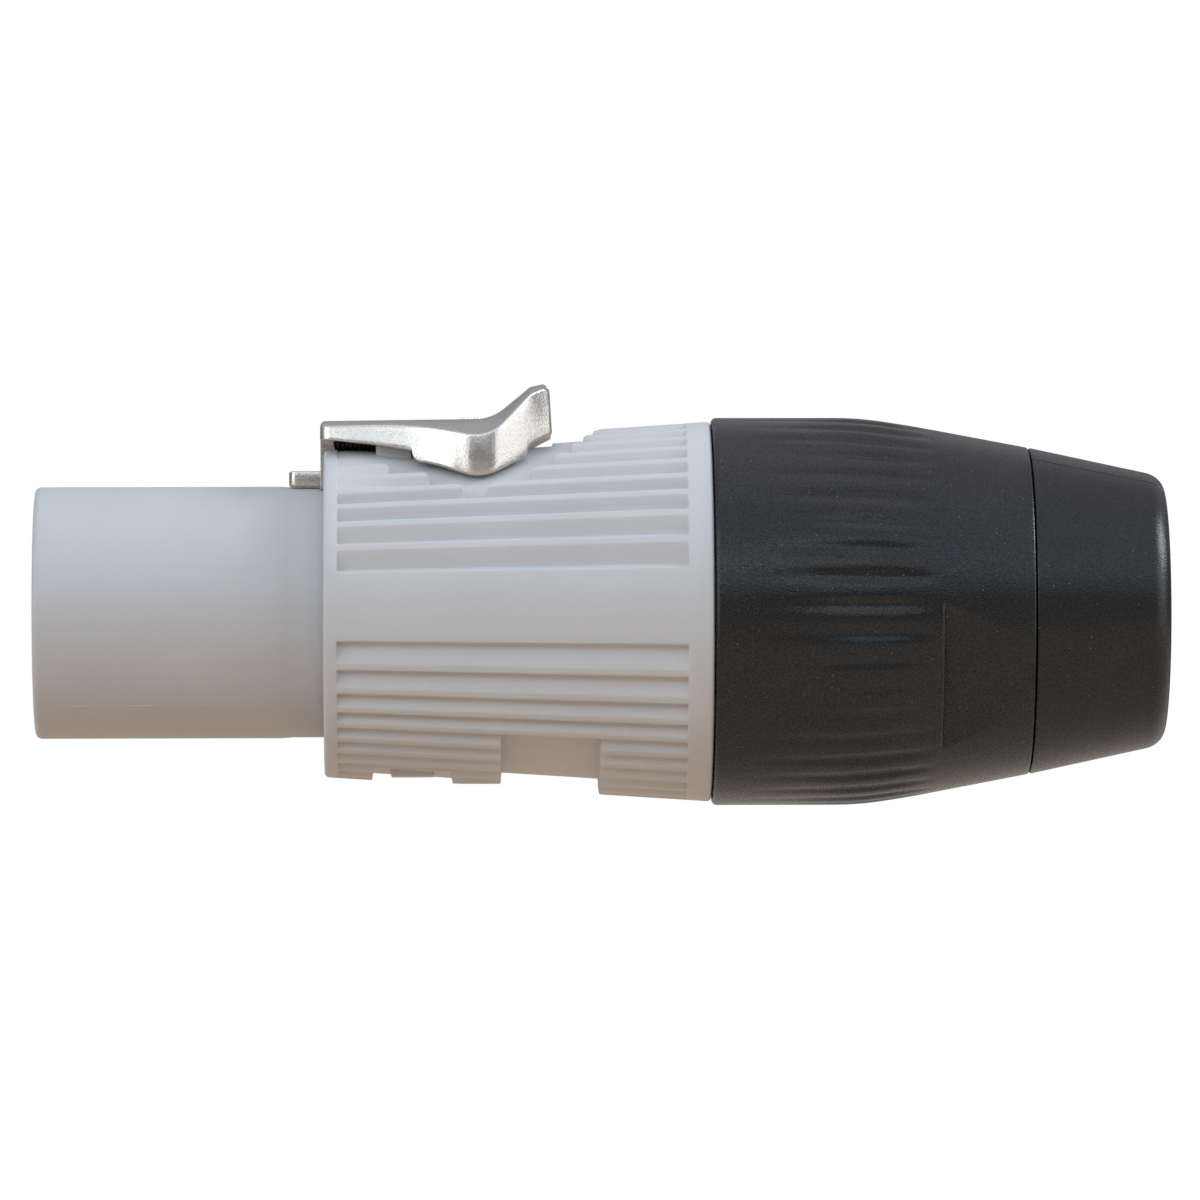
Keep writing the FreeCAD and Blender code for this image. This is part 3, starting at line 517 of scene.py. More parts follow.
@dataclass(frozen=True)
class MouldedPlastic:
    """A moulded plastic: a finely sparked skin, a faint drift of colour and a little dust."""

    name: str
    colour: Colour
    drift: float = 0.015
    roughness: float = 0.5
    specular: float = 0.4
    skin: float = 0.14
    relief: float = 0.005
    dust_share: float = 0.0
    spark: float = 0.1

    CLOUD: ClassVar[float] = 5.0
    DUST: ClassVar[Colour] = (0.13, 0.13, 0.14)
    SPECK: ClassVar[tuple[float, float]] = (0.5, 0.1)
    SHEEN: ClassVar[float] = 0.04

    def material(self) -> bpy.types.Material:
        """Build the material."""
        coat = Coat(self.name)
        broad, fine = coat.noise(self.CLOUD, 1.0), coat.noise(self.skin)
        shades = tinted(self.colour, 1 - self.drift), tinted(self.colour, 1 + self.drift)
        grain = coat.ramp(fine, list(zip(NOISE, ((1 - 2 * self.drift,) * 3, (1.0,) * 3))))
        colour = coat.mix(1.0, coat.ramp(broad, list(zip(NOISE, shades))), grain, "MULTIPLY")
        if self.dust_share:
            cell, reach = self.SPECK
            colour = coat.mix(coat.specks(cell, self.dust_share, reach), colour, self.DUST)
        gloss = self.specular * (1 - self.spark), self.specular * (1 + self.spark)
        return coat.finished({
            "Base Color": colour,
            "Roughness": coat.span(fine, *NOISE, self.roughness + self.SHEEN, self.roughness - self.SHEEN),
            "Specular IOR Level": coat.span(fine, *NOISE, *gloss),
            "Normal": coat.bump(fine, self.relief),
        })


@dataclass(frozen=True)
class PlatedMetal:
    """A plated or drawn metal with a fine cast grain."""

    name: str
    colour: Colour
    roughness: float
    grain: float
    relief: float

    CLOUD: ClassVar[float] = 1.4
    PITS: ClassVar[tuple[float, ...]] = (0.3, 0.6, 0.4, 0.0)

    def material(self) -> bpy.types.Material:
        """Build the material."""
        coat = Coat(self.name)
        grain, cloud = coat.noise(self.grain), coat.noise(self.CLOUD)
        colour = coat.ramp(cloud, list(zip(NOISE, (tinted(self.colour, 0.96), tinted(self.colour, 1.03)))))
        return coat.finished({
            "Metallic": 1.0,
            "Base Color": coat.mix(coat.span(grain, *self.PITS), colour, tinted(self.colour, 0.6)),
            "Roughness": coat.span(cloud, *NOISE, self.roughness - 0.03, self.roughness + 0.04),
            "Normal": coat.bump(grain, self.relief),
        })


# ---------------------------------------------------------------- pieces


@dataclass
class NoseInsert:
    """The plain nose with its core, blade slots and the contact carrier behind."""

    radius: float = 8.83
    root: float = 8.77
    land: float = 17.3
    land_ease: float = 0.7
    socket: float = 7.38
    depth: float = 16.0
    core: float = 5.4
    core_front: float = 1.2
    seat: float = 24.0
    flange: float = 9.3
    flange_rear: float = 26.6
    carrier: float = 8.6
    rear: float = 38.0
    parting: tuple[float, ...] = (229.0, 311.0)
    flash: float = 0.04
    contact_turns: tuple[float, ...] = (0.0, 120.0, 240.0)
    slot_low: Spot = (0.2, -1.7, -4.5)
    slot_high: Spot = (25.0, 1.7, -3.3)
    barrel_front: Spot = (25.5, 0.0, -4.5)
    barrel_rear: Spot = (39.0, 0.0, -4.5)
    barrel_radius: float = 2.2

    def profile(self) -> np.ndarray:
        """Return the closed half section."""
        loop = rounded([
            (self.core_front, 0.0, 0.0), (self.core_front, self.core, 0.35), (self.depth, self.core, 0.15),
            (self.depth, self.socket, 0.15), (0.0, self.socket, 0.3), (0.0, self.radius, 0.42),
            (self.land, self.radius, 0.0), (self.land + self.land_ease, self.root, 0.0),
            (self.seat, self.root, 0.0), (self.seat, self.flange, 0.0), (self.flange_rear, self.flange, 0.1),
            (self.flange_rear, self.carrier, 0.0), (self.rear, self.carrier, 0.3), (self.rear, 0.0, 0.0),
        ])
        return spaced(loop, 0.5)

    def seam(self, along: np.ndarray, radius: np.ndarray, around: np.ndarray) -> np.ndarray:
        """Return the height of the mould's fine flash lines along the nose."""
        near = seam_gap(around, self.parting)
        dashes = 0.35 + 0.65 * (np.sin(along * 2.7 + 1.4 * np.sin(along * 1.2)) > 0.2)
        on_nose = (radius > self.root) & (along > 0.5) & (along < self.land)
        return np.where(on_nose & (near < 0.1), self.flash * dashes, 0.0)

    def build(self, finish: bpy.types.Material) -> None:
        """Make the insert in its finish."""
        angles = ring_angles(2.5, self.parting, (-0.35, -0.25, 0.0, 0.25, 0.35))
        piece = turned("nose_insert", self.profile(), angles, self.seam)
        for turn in self.contact_turns:
            carve(piece, about_axis(bar("blade_slot", self.slot_low, self.slot_high), turn), Carve.CUT)
            hole = peg("barrel_hole", self.barrel_front, self.barrel_rear, self.barrel_radius)
            carve(piece, about_axis(hole, turn), Carve.CUT)
        fit(piece, finish, Body.HOUSING, Slot.INSERT, "insert")


@dataclass
class HousingShell:
    """The grey housing: saw-tooth grip, recess and rail for the latch, window below and plain neck."""

    front: float = 20.25
    rear: float = 47.30
    front_radius: float = 11.57
    taper: float = 0.06543
    bore: float = 8.90
    cavity: float = 9.40
    seat: float = 24.0
    clamp_bore: float = 10.30
    clamp_seat: float = 44.9
    neck: float = 11.50
    neck_rear: float = 55.80
    grip_front: float = 21.20
    grip_rear: float = 45.50
    teeth: tuple[float, ...] = (11.7, 21.8, 30.8, 38.4, 45.3, 52.4, 59.4, 66.4, 73.9, 81.3)
    tooth_land: float = 2.1
    tooth_ledge: float = 1.6
    tooth_depth: float = 0.56
    recess_tooth: int = 3
    recess_fronts: tuple[float, ...] = (30.1, 27.7, 24.9)
    recess_rears: tuple[float, ...] = (31.5, 34.5, 36.2, 37.4, 38.3, 39.0, 39.3)
    recess_depth: float = 0.22
    recess_sunk: float = 0.16
    recess_start: float = 22.5
    recess_run: float = 4.0
    front_tip: float = 0.45
    rear_tips: tuple[float, ...] = (1.1, 0.9, 0.6, 0.45, 0.35, 0.3, 0.2)
    fade_least: float = 0.2
    fade_run: float = 6.5
    platform: tuple[float, float] = (62.7, 68.5)
    window: tuple[float, float] = (32.6, 39.45)
    window_tooth: int = 4
    window_depth: float = 1.1
    pad: tuple[float, float] = (23.6, 29.2)
    pad_half: float = 3.85
    pad_depth: float = 0.5
    belly_drop: float = 0.12
    plate: tuple[float, float] = (24.9, 27.9)
    plate_half: float = 2.55
    plate_height: float = 0.28
    plate_root: float = 1.0
    rail: tuple[float, float] = (23.9, 33.5)
    rail_half: float = 1.9
    rail_low: float = 11.0
    rail_top: float = 12.75
    stem_half: float = 1.2
    stem_top: float = 11.3
    root: float = 9.9
    spring_height: float = 11.8
    spring_bore: float = 0.7
    spring_depth: float = 4.0
    cheek: tuple[float, float] = (2.7, 3.62)
    cheek_rear: float = 26.4
    cheek_top: float = 12.3
    channel_half: float = 2.75
    channel_floor: float = 10.30
    channel_rear: float = 36.3
    slot_half: float = 2.7
    slot_rear: float = 23.35
    slot_floor: float = 2.0
    crease: float = 40.0

    CLEAR_FRONT: ClassVar[float] = 19.0
    CLEAR_TOP: ClassVar[float] = 20.0
    FILLS: ClassVar[tuple[int, ...]] = (0, 2, 3, 4, 14, 5)
    WALL: ClassVar[tuple[float, ...]] = (-0.08, -0.045, -0.015, 0.015, 0.045, 0.08)
    RISE: ClassVar[tuple[float, ...]] = (0.0, 0.06, 0.3, 0.7, 0.94, 1.0)

    def skin(self, along: float | np.ndarray) -> float | np.ndarray:
        """Return the radius of the tapered outside at a place along the axis."""
        return self.front_radius + (along - self.front) * self.taper

    def tooth_line(self) -> np.ndarray:
        """Return the saw-tooth line of one quarter: degrees from the side, and depth below the skin."""
        arc = math.radians(1.0) * self.skin((self.grip_front + self.grip_rear) / 2)
        corners: list[Corner] = [(0.0, 0.0, 0.0)]
        ends = [edge - self.tooth_land for edge in self.teeth[1:]] + [90.0]
        for edge, rise in zip(self.teeth, ends):
            corners.append((edge * arc, 0.0, 0.1))
            corners.append(((edge + self.tooth_ledge) * arc, self.tooth_depth, 0.08))
            corners.append((rise * arc, 0.0, 0.3 if rise < 90.0 else 0.0))
        line = spaced(rounded(corners, steps=3, closed=False), 0.3)
        line[:, 0] /= arc
        return line

    def recess_ends(self, angle: float) -> tuple[float, float] | None:
        """Find where the recess for the latch opens and closes on a line along the housing.

        Args:
            angle: the line's angle above the side, in degrees.

        Returns:
            The places of its front and rear edges, or None where the line passes below it.
        """
        tooth = sum(edge + self.tooth_ledge / 2 <= angle for edge in self.teeth) - 1
        row = tooth - self.recess_tooth
        if row < 0:
            return None
        low = self.teeth[tooth] + self.tooth_ledge
        high = (self.teeth + (90.0,))[tooth + 1]
        share = min(1.0, max(0.0, (angle - low) / (high - low)))
        drawn = 1.0 - math.sqrt(1.0 - share * share)
        front = self.recess_fronts[row] - self.front_tip * drawn if row < len(self.recess_fronts) else 0.0
        return front, self.recess_rears[row] + self.rear_tips[row] * drawn

    def steps(self, angle: float, upper: bool) -> list[tuple[float, float, float]]:
        """List the steps along one line of the grip.

        Args:
            angle: the line's angle from the side, in degrees.
            upper: whether the line is on the latch's half.

        Returns:
            The place of each step and the share of a pocket before and behind it.
        """
        if not upper:
            pad = float(self.skin(self.pad[0]) * math.cos(math.radians(angle)) < self.pad_half)
            window = float(angle > self.teeth[self.window_tooth] + 0.4)
            return [(self.grip_front, 0.0, 0.0), (self.pad[0], 0.0, pad), (self.pad[1], pad, 0.0),
                    (self.window[0], 0.0, window), (self.window[1], window, 0.0), (self.grip_rear, 0.0, 0.0)]
        ends = self.recess_ends(angle)
        first, last = ends if ends else (30.5, 31.1)
        deep = 1.0 if ends else 0.0
        opened = 1.0 if ends and first < self.grip_front else 0.0
        first = max(first, self.grip_front + 1.3)
        run = first - self.grip_front
        return [(self.grip_front, opened, opened), (self.grip_front + 0.35 * run, opened, opened),
                (self.grip_front + 0.65 * run, opened, opened), (first, opened, deep),
                (max(last, first + 0.5), deep, 0.0), (self.grip_rear, 0.0, 0.0)]

    def pocket(self, along: np.ndarray, angle: float, upper: bool) -> np.ndarray:
        """Return the depth of the pockets along one line: the latch's recess above, pad and window below."""
        if not upper:
            return np.where(along < (self.pad[1] + self.window[0]) / 2, self.pad_depth, self.window_depth)
        low, high = self.platform
        sunk = self.recess_sunk * (1.0 - ease((angle - low) / (high - low)))
        opened = ease((along - self.recess_start) / self.recess_run)
        return self.tooth_depth * self.fade(along) + (self.recess_depth + sunk) * opened

    def fade(self, along: np.ndarray) -> np.ndarray:
        """Return how fully the grip's upper rows are cut, which rises from the front ring."""
        return self.fade_least + (1.0 - self.fade_least) * ease((along - self.grip_front) / self.fade_run)

    def line(self, angle: float, groove: float, upper: bool) -> np.ndarray:
        """Return the closed half section of the housing on one line.

        Args:
            angle: the line's angle from the side, in degrees.
            groove: the grip's depth on this line.
            upper: whether the line is on the latch's half.

        Returns:
            Places along X and radii.
        """
        places: list[float] = []
        shares: list[float] = []
        for (place, before, behind), fill in zip(self.steps(angle, upper), self.FILLS):
            if places:
                part = np.linspace(0.0, 1.0, fill + 2)[1:-1]
                places.extend(places[-1] + (place + self.WALL[0] - places[-1]) * part)
                shares.extend([before] * fill)
            places.extend(place + shift for shift in self.WALL)
            shares.extend(before + (behind - before) * part for part in self.RISE)
        along, share = np.array(places), np.array(shares)
        cut = groove * (self.fade(along) if upper and angle > self.teeth[self.recess_tooth + 1] + 0.5 else 1.0)
        inside = np.interp(along - self.grip_front, self.WALL, self.RISE)
        inside = inside * np.interp(self.grip_rear - along, self.WALL, self.RISE)
        depth = inside * ((1.0 - share) * cut + share * self.pocket(along, angle, upper))
        grip = np.column_stack((along, self.skin(along) - depth))
        ring = rounded([
            (self.front, self.bore, 0.0), (self.front, self.front_radius, 0.32),
            (self.grip_front, self.skin(self.grip_front), 0.0),
        ], closed=False)[:-1]
        back = rounded([
            (self.grip_rear + 0.2, self.skin(self.grip_rear + 0.2), 0.0), (self.rear, self.skin(self.rear), 0.2),
            (self.rear, self.neck, 0.15), (self.neck_rear, self.neck, 0.3), (self.neck_rear, self.clamp_bore, 0.2),
            (self.clamp_seat, self.clamp_bore, 0.0), (self.clamp_seat, self.cavity, 0.0), (self.seat, self.cavity, 0.0),
            (self.seat, self.bore, 0.0),
        ], steps=4)
        return np.vstack((ring, grip, back))

    def shell(self) -> bpy.types.Object:
        """Make the shell from a line along every facet of the grip."""
        quarter = self.tooth_line()
        loops: list[np.ndarray] = []
        for upper, flip, base in ((True, False, 0.0), (True, True, 180.0), (False, False, 180.0), (False, True, 360.0)):
            rows = quarter[::-1][:-1] if flip else quarter[:-1]
            for angle, groove in rows:
                half = self.line(angle, groove, upper)
                turn = math.radians(base - angle if flip else base + angle)
                loops.append(np.column_stack((half[:, 0], half[:, 1] * math.cos(turn), half[:, 1] * math.sin(turn))))
        points = np.array(loops)
        flat = -(self.skin(self.pad[1]) - self.belly_drop)
        belly = (points[..., 0] > self.pad[1] - 1) & (points[..., 0] < self.window[0] + 1) & (points[..., 2] < flat)
        points[..., 2] = np.where(belly, flat, points[..., 2])
        return solid("housing_shell", points, grid_faces(*points.shape[:2]), self.crease)

    def build(self, finish: bpy.types.Material) -> None:
        """Make the housing in its finish."""
        piece = self.shell()
        for name, half, floor, rear in (
            ("channel", self.channel_half, self.channel_floor, self.channel_rear),
            ("hook_slot", self.slot_half, self.slot_floor, self.slot_rear),
        ):
            room = bar(name, (self.CLEAR_FRONT, -half, floor), (rear, half, self.CLEAR_TOP))
            carve(piece, room, Carve.CUT, self.crease)
        carve(piece, self.rail_bar(), Carve.JOIN, self.crease)
        for side in (-1, 1):
            low, high = sorted(reach * side for reach in self.cheek)
            cheek = bar("cheek", (self.rail[0], low, self.root), (self.cheek_rear, high, self.cheek_top), 0.1)
            carve(piece, cheek, Carve.JOIN, self.crease)
        (front, rear), half = self.plate, self.plate_half
        face = -(self.skin(self.pad[0]) - (self.pad_depth - self.plate_height))
        plate = bar("plain_plate", (front, -half, face), (rear, half, face + self.plate_root), 0.12)
        carve(piece, plate, Carve.JOIN, self.crease)
        fit(piece, finish, Body.HOUSING, Slot.HOUSING, "housing")

    def rail_bar(self) -> bpy.types.Object:
        """Make the rail that the latch runs on, with the bore for its spring."""
        front, rear = self.rail
        rail = bar("rail_head", (front, -self.rail_half, self.rail_low), (rear, self.rail_half, self.rail_top), 0.15)
        stem = bar("rail_stem", (front, -self.stem_half, self.root), (rear, self.stem_half, self.stem_top))
        carve(rail, stem, Carve.JOIN)
        ends = (front - 1.0, 0.0, self.spring_height), (front + self.spring_depth, 0.0, self.spring_height)
        carve(rail, peg("spring_bore", *ends, self.spring_bore), Carve.CUT)
        return rail


@dataclass
class Latch:
    """The die-cast latch: arm, flared shoulders, thumb lip, hook plate and locking tongue."""

    front: float = 20.0
    rear: float = 36.25
    crown: float = 20.0
    skirt: tuple[float, float] = (26.5, 34.5)
    skirt_depth: float = 0.55
    arm_under: tuple[tuple[float, float], ...] = ((20.0, 11.95), (23.4, 11.6), (25.0, 11.35), (26.5, 11.07))
    tail_lift: tuple[tuple[float, float], ...] = ((34.5, 0.02), (35.2, 0.22), (36.25, 0.32))
    draft: tuple[float, float] = (0.18, 0.12)
    draft_run: tuple[float, float] = (25.5, 28.5)
    upright_from: tuple[float, float] = (28.8, 1.4)
    upright_to: tuple[float, float] = (36.6, 2.6)
    draft_height: float = 12.6
    tail_lean: float = 0.25
    tail_foot: float = 11.6
    tail_height: float = 4.4
    tongue_floor: float = 8.95
    tongue_top: float = 9.87
    tongue_tip: float = 17.80
    tongue_half: float = 1.8
    tongue_corner: float = 0.6
    hook_rear: float = 20.95
    hook_half: float = 2.5
    hook_floor: float = 8.3
    ceiling: float = 12.95
    hollow_half: float = 2.1
    hollow_rear: float = 33.9
    arm_hollow_half: float = 3.7
    arm_hollow_rear: float = 26.55
    arm_ceiling: float = 12.5
    leg: tuple[float, float] = (2.09, 2.56)
    leg_front: float = 26.7
    leg_floor: float = 10.45
    leg_top: float = 12.9
    arrow_front: float = 29.4
    arrow_tip: float = 31.4
    arrow_half: float = 1.2
    arrow_middle: float = 30.0

    OPEN: ClassVar[float] = 5.0

    def plan(self) -> np.ndarray:
        """Return the half outline from above: places along X and half widths."""
        return rounded([
            (self.front - 0.01, 0.0, 0.0), (self.front, 4.72, 0.9), (25.9, 4.3, 9.0), (31.25, 7.95, 2.5),
            (34.0, 6.0, 12.0), (self.rear, 4.1, 0.45), (self.rear + 0.01, 0.0, 0.0),
        ], steps=10, closed=False)[1:-1]

    def ridge(self) -> np.ndarray:
        """Return the top line: places along X and heights."""
        return rounded([
            (self.front - 0.01, 12.0, 0.0), (self.front, 13.43, 0.35), (32.0, 13.57, 3.2), (34.72, 15.8, 0.6),
            (self.rear - 0.12, 16.05, 0.35), (self.rear, 12.0, 0.0),
        ], steps=10, closed=False)[1:-1]

    def stations(self) -> np.ndarray:
        """Return the places along X of the cross-sections."""
        knee, heel = self.skirt
        return np.unique(np.concatenate((
            self.front + 0.9 * round_end(12), np.linspace(21.1, knee - 0.2, 12),
            knee + np.array((-0.1, -0.08, -0.075, -0.06, -0.03, 0.02, 0.1, 0.2, 0.32, 0.42)),
            np.linspace(knee + 0.6, 29.3, 8), np.linspace(29.5, 32.6, 24), np.linspace(32.8, heel - 0.4, 7),
            heel + np.array((-0.3, -0.2, -0.1, -0.03, 0.02, 0.045, 0.06, 0.08)),
            np.linspace(heel + 0.2, self.rear - 0.55, 6), self.rear - 0.5 * round_end(8),
        )))

    def under(self, along: float, across: np.ndarray, shell: HousingShell) -> np.ndarray:
        """Return the underside's heights.

        Args:
            along: the place along X.
            across: places along Y.
            shell: the housing that the skirt runs over.

        Returns:
            A height for each place.
        """
        knee, heel = self.skirt
        skirt = np.sqrt((shell.skin(along) - self.skirt_depth) ** 2 - across**2)
        arm = np.full_like(across, np.interp(along, *np.array(self.arm_under).T))
        lift = np.interp(along, *np.array(self.tail_lift).T)
        tail = np.minimum(np.sqrt((shell.skin(along) + lift) ** 2 - across**2), self.ceiling - 0.5)
        to_skirt = math.sqrt(1.0 - (1.0 - min(1.0, max(0.0, (along - knee + 0.08) / 0.5))) ** 2)
        to_tail = 1.0 - math.sqrt(1.0 - min(1.0, max(0.0, (along - heel + 0.3) / 0.36)) ** 2)
        return (1 - to_skirt) * arm + to_skirt * (1 - to_tail) * skirt + to_tail * tail

    def section(self, along: float, shell: HousingShell) -> np.ndarray:
        """Return the closed cross-section at a place along X.

        Args:
            along: the place.
            shell: the housing below.

        Returns:
            The section's points.
        """
        half = float(np.interp(along, *self.plan().T))
        ridge = float(np.interp(along, *self.ridge().T))
        below = half * np.array((0.0, 0.15, 0.3, 0.4, 0.5, 0.6, 0.7, 0.8, 0.9, 1.0))
        above = half * np.array((1.0, 0.8, 0.6, 0.4, 0.2, 0.0))
        low = self.under(along, below, shell)
        high = ridge - (self.crown - np.sqrt(self.crown**2 - above**2))
        corners: list[Corner] = [(y, z, 0.0) for y, z in zip(below[:-1], low[:-1])]
        (start, rise), (end, fall) = self.upright_from, self.upright_to
        upright = ease((along - start) / rise) * ease((end - along) / fall)
        draft = float(np.interp(along, self.draft_run, self.draft)) * (1.0 - upright)
        for share, rounding in ((0.0, 0.18), (0.25, 0.0), (0.7, 0.0), (1.0, 0.22)):
            height = low[-1] + (high[0] - low[-1]) * share
            corners.append((half - draft * (height - self.draft_height), height, rounding))
        corners += [(y, z, 0.0) for y, z in zip(above[1:], high[1:])]
        loop = mirrored(rounded(corners, steps=4, closed=False))
        lean = self.tail_lean * ease((along - self.skirt[1]) / (self.rear - self.skirt[1]))
        return np.column_stack((along - lean * (loop[:, 1] - self.tail_foot) / self.tail_height, loop))

    def tongue(self) -> bpy.types.Object:
        """Make the locking tongue, hollowed to the nose."""
        corner = self.tongue_corner
        ends = self.tongue_tip + corner * round_end(9), np.linspace(18.6, self.hook_rear - 0.2, 5)
        rows = []
        for along in np.concatenate(ends):
            inset = corner - math.sqrt(max(0.0, corner**2 - max(0.0, corner - along + self.tongue_tip) ** 2))
            half = self.tongue_half - inset
            below = half * np.array((0.0, 0.35, 0.7, 1.0))
            low = np.sqrt(self.tongue_floor**2 - below**2)
            top = self.tongue_top - 0.12 * (1 - min(1.0, (along - self.tongue_tip) / 0.25)) ** 2
            corners: list[Corner] = [(y, z, 0.0) for y, z in zip(below[:-1], low[:-1])]
            corners += [(half, low[-1], 0.1), (half, top, 0.16), (0.0, top, 0.0)]
            loop = mirrored(rounded(corners, steps=4, closed=False))
            rows.append(np.column_stack((np.full(len(loop), along), loop)))
        return lofted("tongue", np.array(rows))

    def arrow(self) -> bpy.types.Object:
        """Make the low plain arrow that shows which way to pull, raised from the curved top."""
        front, half, edge = self.arrow_front, self.arrow_half, 0.12
        corners = [(front, -half, edge), (self.arrow_tip, 0.0, edge), (front, half, edge), (front, -half, 0.0)]
        outline = spaced(rounded(corners, steps=3, closed=False)[:-1], 0.25)
        middle = np.array((self.arrow_middle, 0.0))
        rows = []
        for rise, inset in ((-0.4, 0.0), (0.04, 0.0), (0.08, 0.03), (0.1, 0.1), (0.1, 0.95)):
            spots = middle + (outline - middle) * (1 - inset)
            drop = self.crown - np.sqrt(self.crown**2 - spots[:, 1] ** 2)
            rows.append(np.column_stack((spots, np.interp(spots[:, 0], *self.ridge().T) - drop + rise)))
        return lofted("pull_arrow", np.array(rows))

    def build(self, finish: bpy.types.Material, shell: HousingShell) -> None:
        """Make the latch in its finish, over the housing."""
        piece = lofted("slide_latch", np.array([self.section(along, shell) for along in self.stations()]))
        for name, half, rear, top in (
            ("hollow", self.hollow_half, self.hollow_rear, self.ceiling),
            ("arm_hollow", self.arm_hollow_half, self.arm_hollow_rear, self.arm_ceiling),
        ):
            carve(piece, bar(name, (self.hook_rear, -half, self.OPEN), (rear, half, top)), Carve.CUT)
        for side in (-1, 1):
            low, high = sorted(reach * side for reach in self.leg)
            leg = bar("leg", (self.leg_front, low, self.leg_floor), (self.hollow_rear, high, self.leg_top))
            carve(piece, leg, Carve.JOIN)
        half, top = self.hook_half, self.ceiling + 0.1
        hook = bar("hook", (self.front, -half, self.hook_floor), (self.hook_rear, half, top), 0.03)
        ends = (self.front - self.OPEN, 0.0, 0.0), (self.front + self.OPEN, 0.0, 0.0)
        carve(hook, peg("nose_room", *ends, self.tongue_floor, 160), Carve.CUT)
        carve(hook, self.tongue(), Carve.JOIN)
        carve(piece, hook, Carve.JOIN)
        carve(piece, self.arrow(), Carve.JOIN)
        fit(piece, finish, Body.LATCH, Slot.LATCH, "latch")


@dataclass
class LatchSpring:
    """The coil spring between the hook plate and the rail."""

    front: float = 20.97
    rear: float = 27.85
    height: float = 11.80
    coil: float = 0.53
    wire: float = 0.14
    turns: float = 24.0
    flat_end: float = 0.05

    FACETS: ClassVar[int] = 24

    def build(self, finish: bpy.types.Material) -> None:
        """Make the spring in its finish."""
        share = np.linspace(0.0, 1.0, round(self.turns) * self.FACETS + 1)
        turn = 2 * math.pi * self.turns * share
        rise = np.interp(share, (0.0, self.flat_end, 1.0 - self.flat_end, 1.0), (0.0, 0.0, 1.0, 1.0))
        along = self.front + self.wire + (self.rear - self.front - 2 * self.wire) * rise
        rows = []
        for place, angle in zip(along, turn):
            ring = np.linspace(0.0, 2 * math.pi, 10, endpoint=False)
            radius = self.coil + self.wire * np.cos(ring)
            rows.append(np.column_stack((
                place + self.wire * np.sin(ring), radius * math.cos(angle), self.height + radius * math.sin(angle),
            )))
        piece = lofted("latch_coil", np.array(rows))
        fit(piece, finish, Body.HOUSING, Slot.SPRING, "latch_spring")
        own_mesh(piece)


@dataclass
class ClampingNut:
    """The black bushing that screws onto the neck: fluted collar, sloping shoulder and wrench flats."""

    front: float = 47.40
    rear: float = 69.65
    radius: float = 13.60
    cone: float = 11.47
    shoulder: tuple[float, float] = (57.8, 61.4)
    slope: float = 0.19
    flutes: int = 42
    flute_depth: float = 0.19
    flute_run: tuple[float, float, float, float] = (48.6, 57.4, 59.6, 62.9)
    flat_front: float = 63.28
    flat_reach: float = 11.45
    flat_angles: tuple[float, ...] = (205.0, 25.0)
    thread: float = 11.65
    thread_rear: float = 57.0
    chamber: float = 10.6
    throat: float = 8.7
    throat_front: float = 66.5
    spigot: float = 9.4
    spigot_rear: float = 72.15

    STEP: ClassVar[tuple[float, ...]] = (-0.2, -0.14, -0.08, -0.04, -0.015, 0.0)
    EDGE: ClassVar[tuple[float, ...]] = (0.0, 0.015, 0.05, 0.1, 0.18, 9.0)
    OUTSIDE: ClassVar[float] = 11.3
    FACING: ClassVar[float] = 0.2

    def profile(self) -> np.ndarray:
        """Return the closed half section."""
        start, end = self.shoulder
        outside = rounded([
            (self.front, self.thread, 0.0), (self.front, self.radius, 0.35), (start, self.radius, 24.0),
            (end, self.cone + (self.rear - end) * self.slope, 40.0), (self.rear, self.cone, 0.2),
            (self.rear, self.spigot, 0.0),
        ], steps=6, closed=False)
        crisp = np.array([self.flat_front + shift for shift in (-0.26, *self.STEP, 0.06)])
        outside = spaced(outside, 0.45)
        on_top = outside[:, 1] > self.cone + 0.2
        radii = np.interp(crisp, outside[on_top, 0], outside[on_top, 1])
        cut = int(np.argmax((outside[:, 0] > self.flat_front) & on_top))
        outside = np.vstack((outside[:cut], np.column_stack((crisp, radii)), outside[cut:]))
        keep = np.concatenate(([True], np.linalg.norm(np.diff(outside, axis=0), axis=1) > 1e-4))
        inside = rounded([
            (self.spigot_rear, self.spigot, 0.1), (self.spigot_rear, self.throat, 0.2),
            (self.throat_front, self.throat, 0.0), (self.thread_rear, self.chamber, 0.0),
            (self.thread_rear, self.thread, 0.0),
        ], steps=3, closed=False)
        return np.vstack((outside[keep], inside))

    def swell(self, along: np.ndarray, radius: np.ndarray, around: np.ndarray) -> np.ndarray:
        """Return the depth of the flutes and flats, below the turned outside."""
        first, full, fade, last = self.flute_run
        rise = np.clip((along - first) / (full - first), 0.0, 1.0)
        fall = np.clip((last - along) / (last - fade), 0.0, 1.0)
        wave = (0.5 + 0.5 * np.cos(np.radians(around) * self.flutes)) ** 2
        depth = self.flute_depth * rise**1.6 * fall**0.8 * wave
        outside = radius > self.OUTSIDE
        room = radius - depth
        for angle in self.flat_angles:
            lean = np.cos(np.radians(around - angle))
            reach = np.where(lean > self.FACING, self.flat_reach / np.maximum(lean, self.FACING), np.inf)
            edge = radius - np.interp(along - self.flat_front, self.STEP, self.EDGE)
            room = np.where(outside, np.minimum(room, np.maximum(reach, edge)), room)
        return np.where(outside & (along > self.front + 0.3), room - radius, 0.0)

    def build(self, finish: bpy.types.Material) -> None:
        """Make the bushing in its finish."""
        angles = np.arange(0.0, 360.0, 360.0 / (self.flutes * 12))
        piece = turned("clamping_nut", self.profile(), angles, self.swell, crease=30.0)
        fit(piece, finish, Body.NUT, Slot.BUSHING, "bushing")


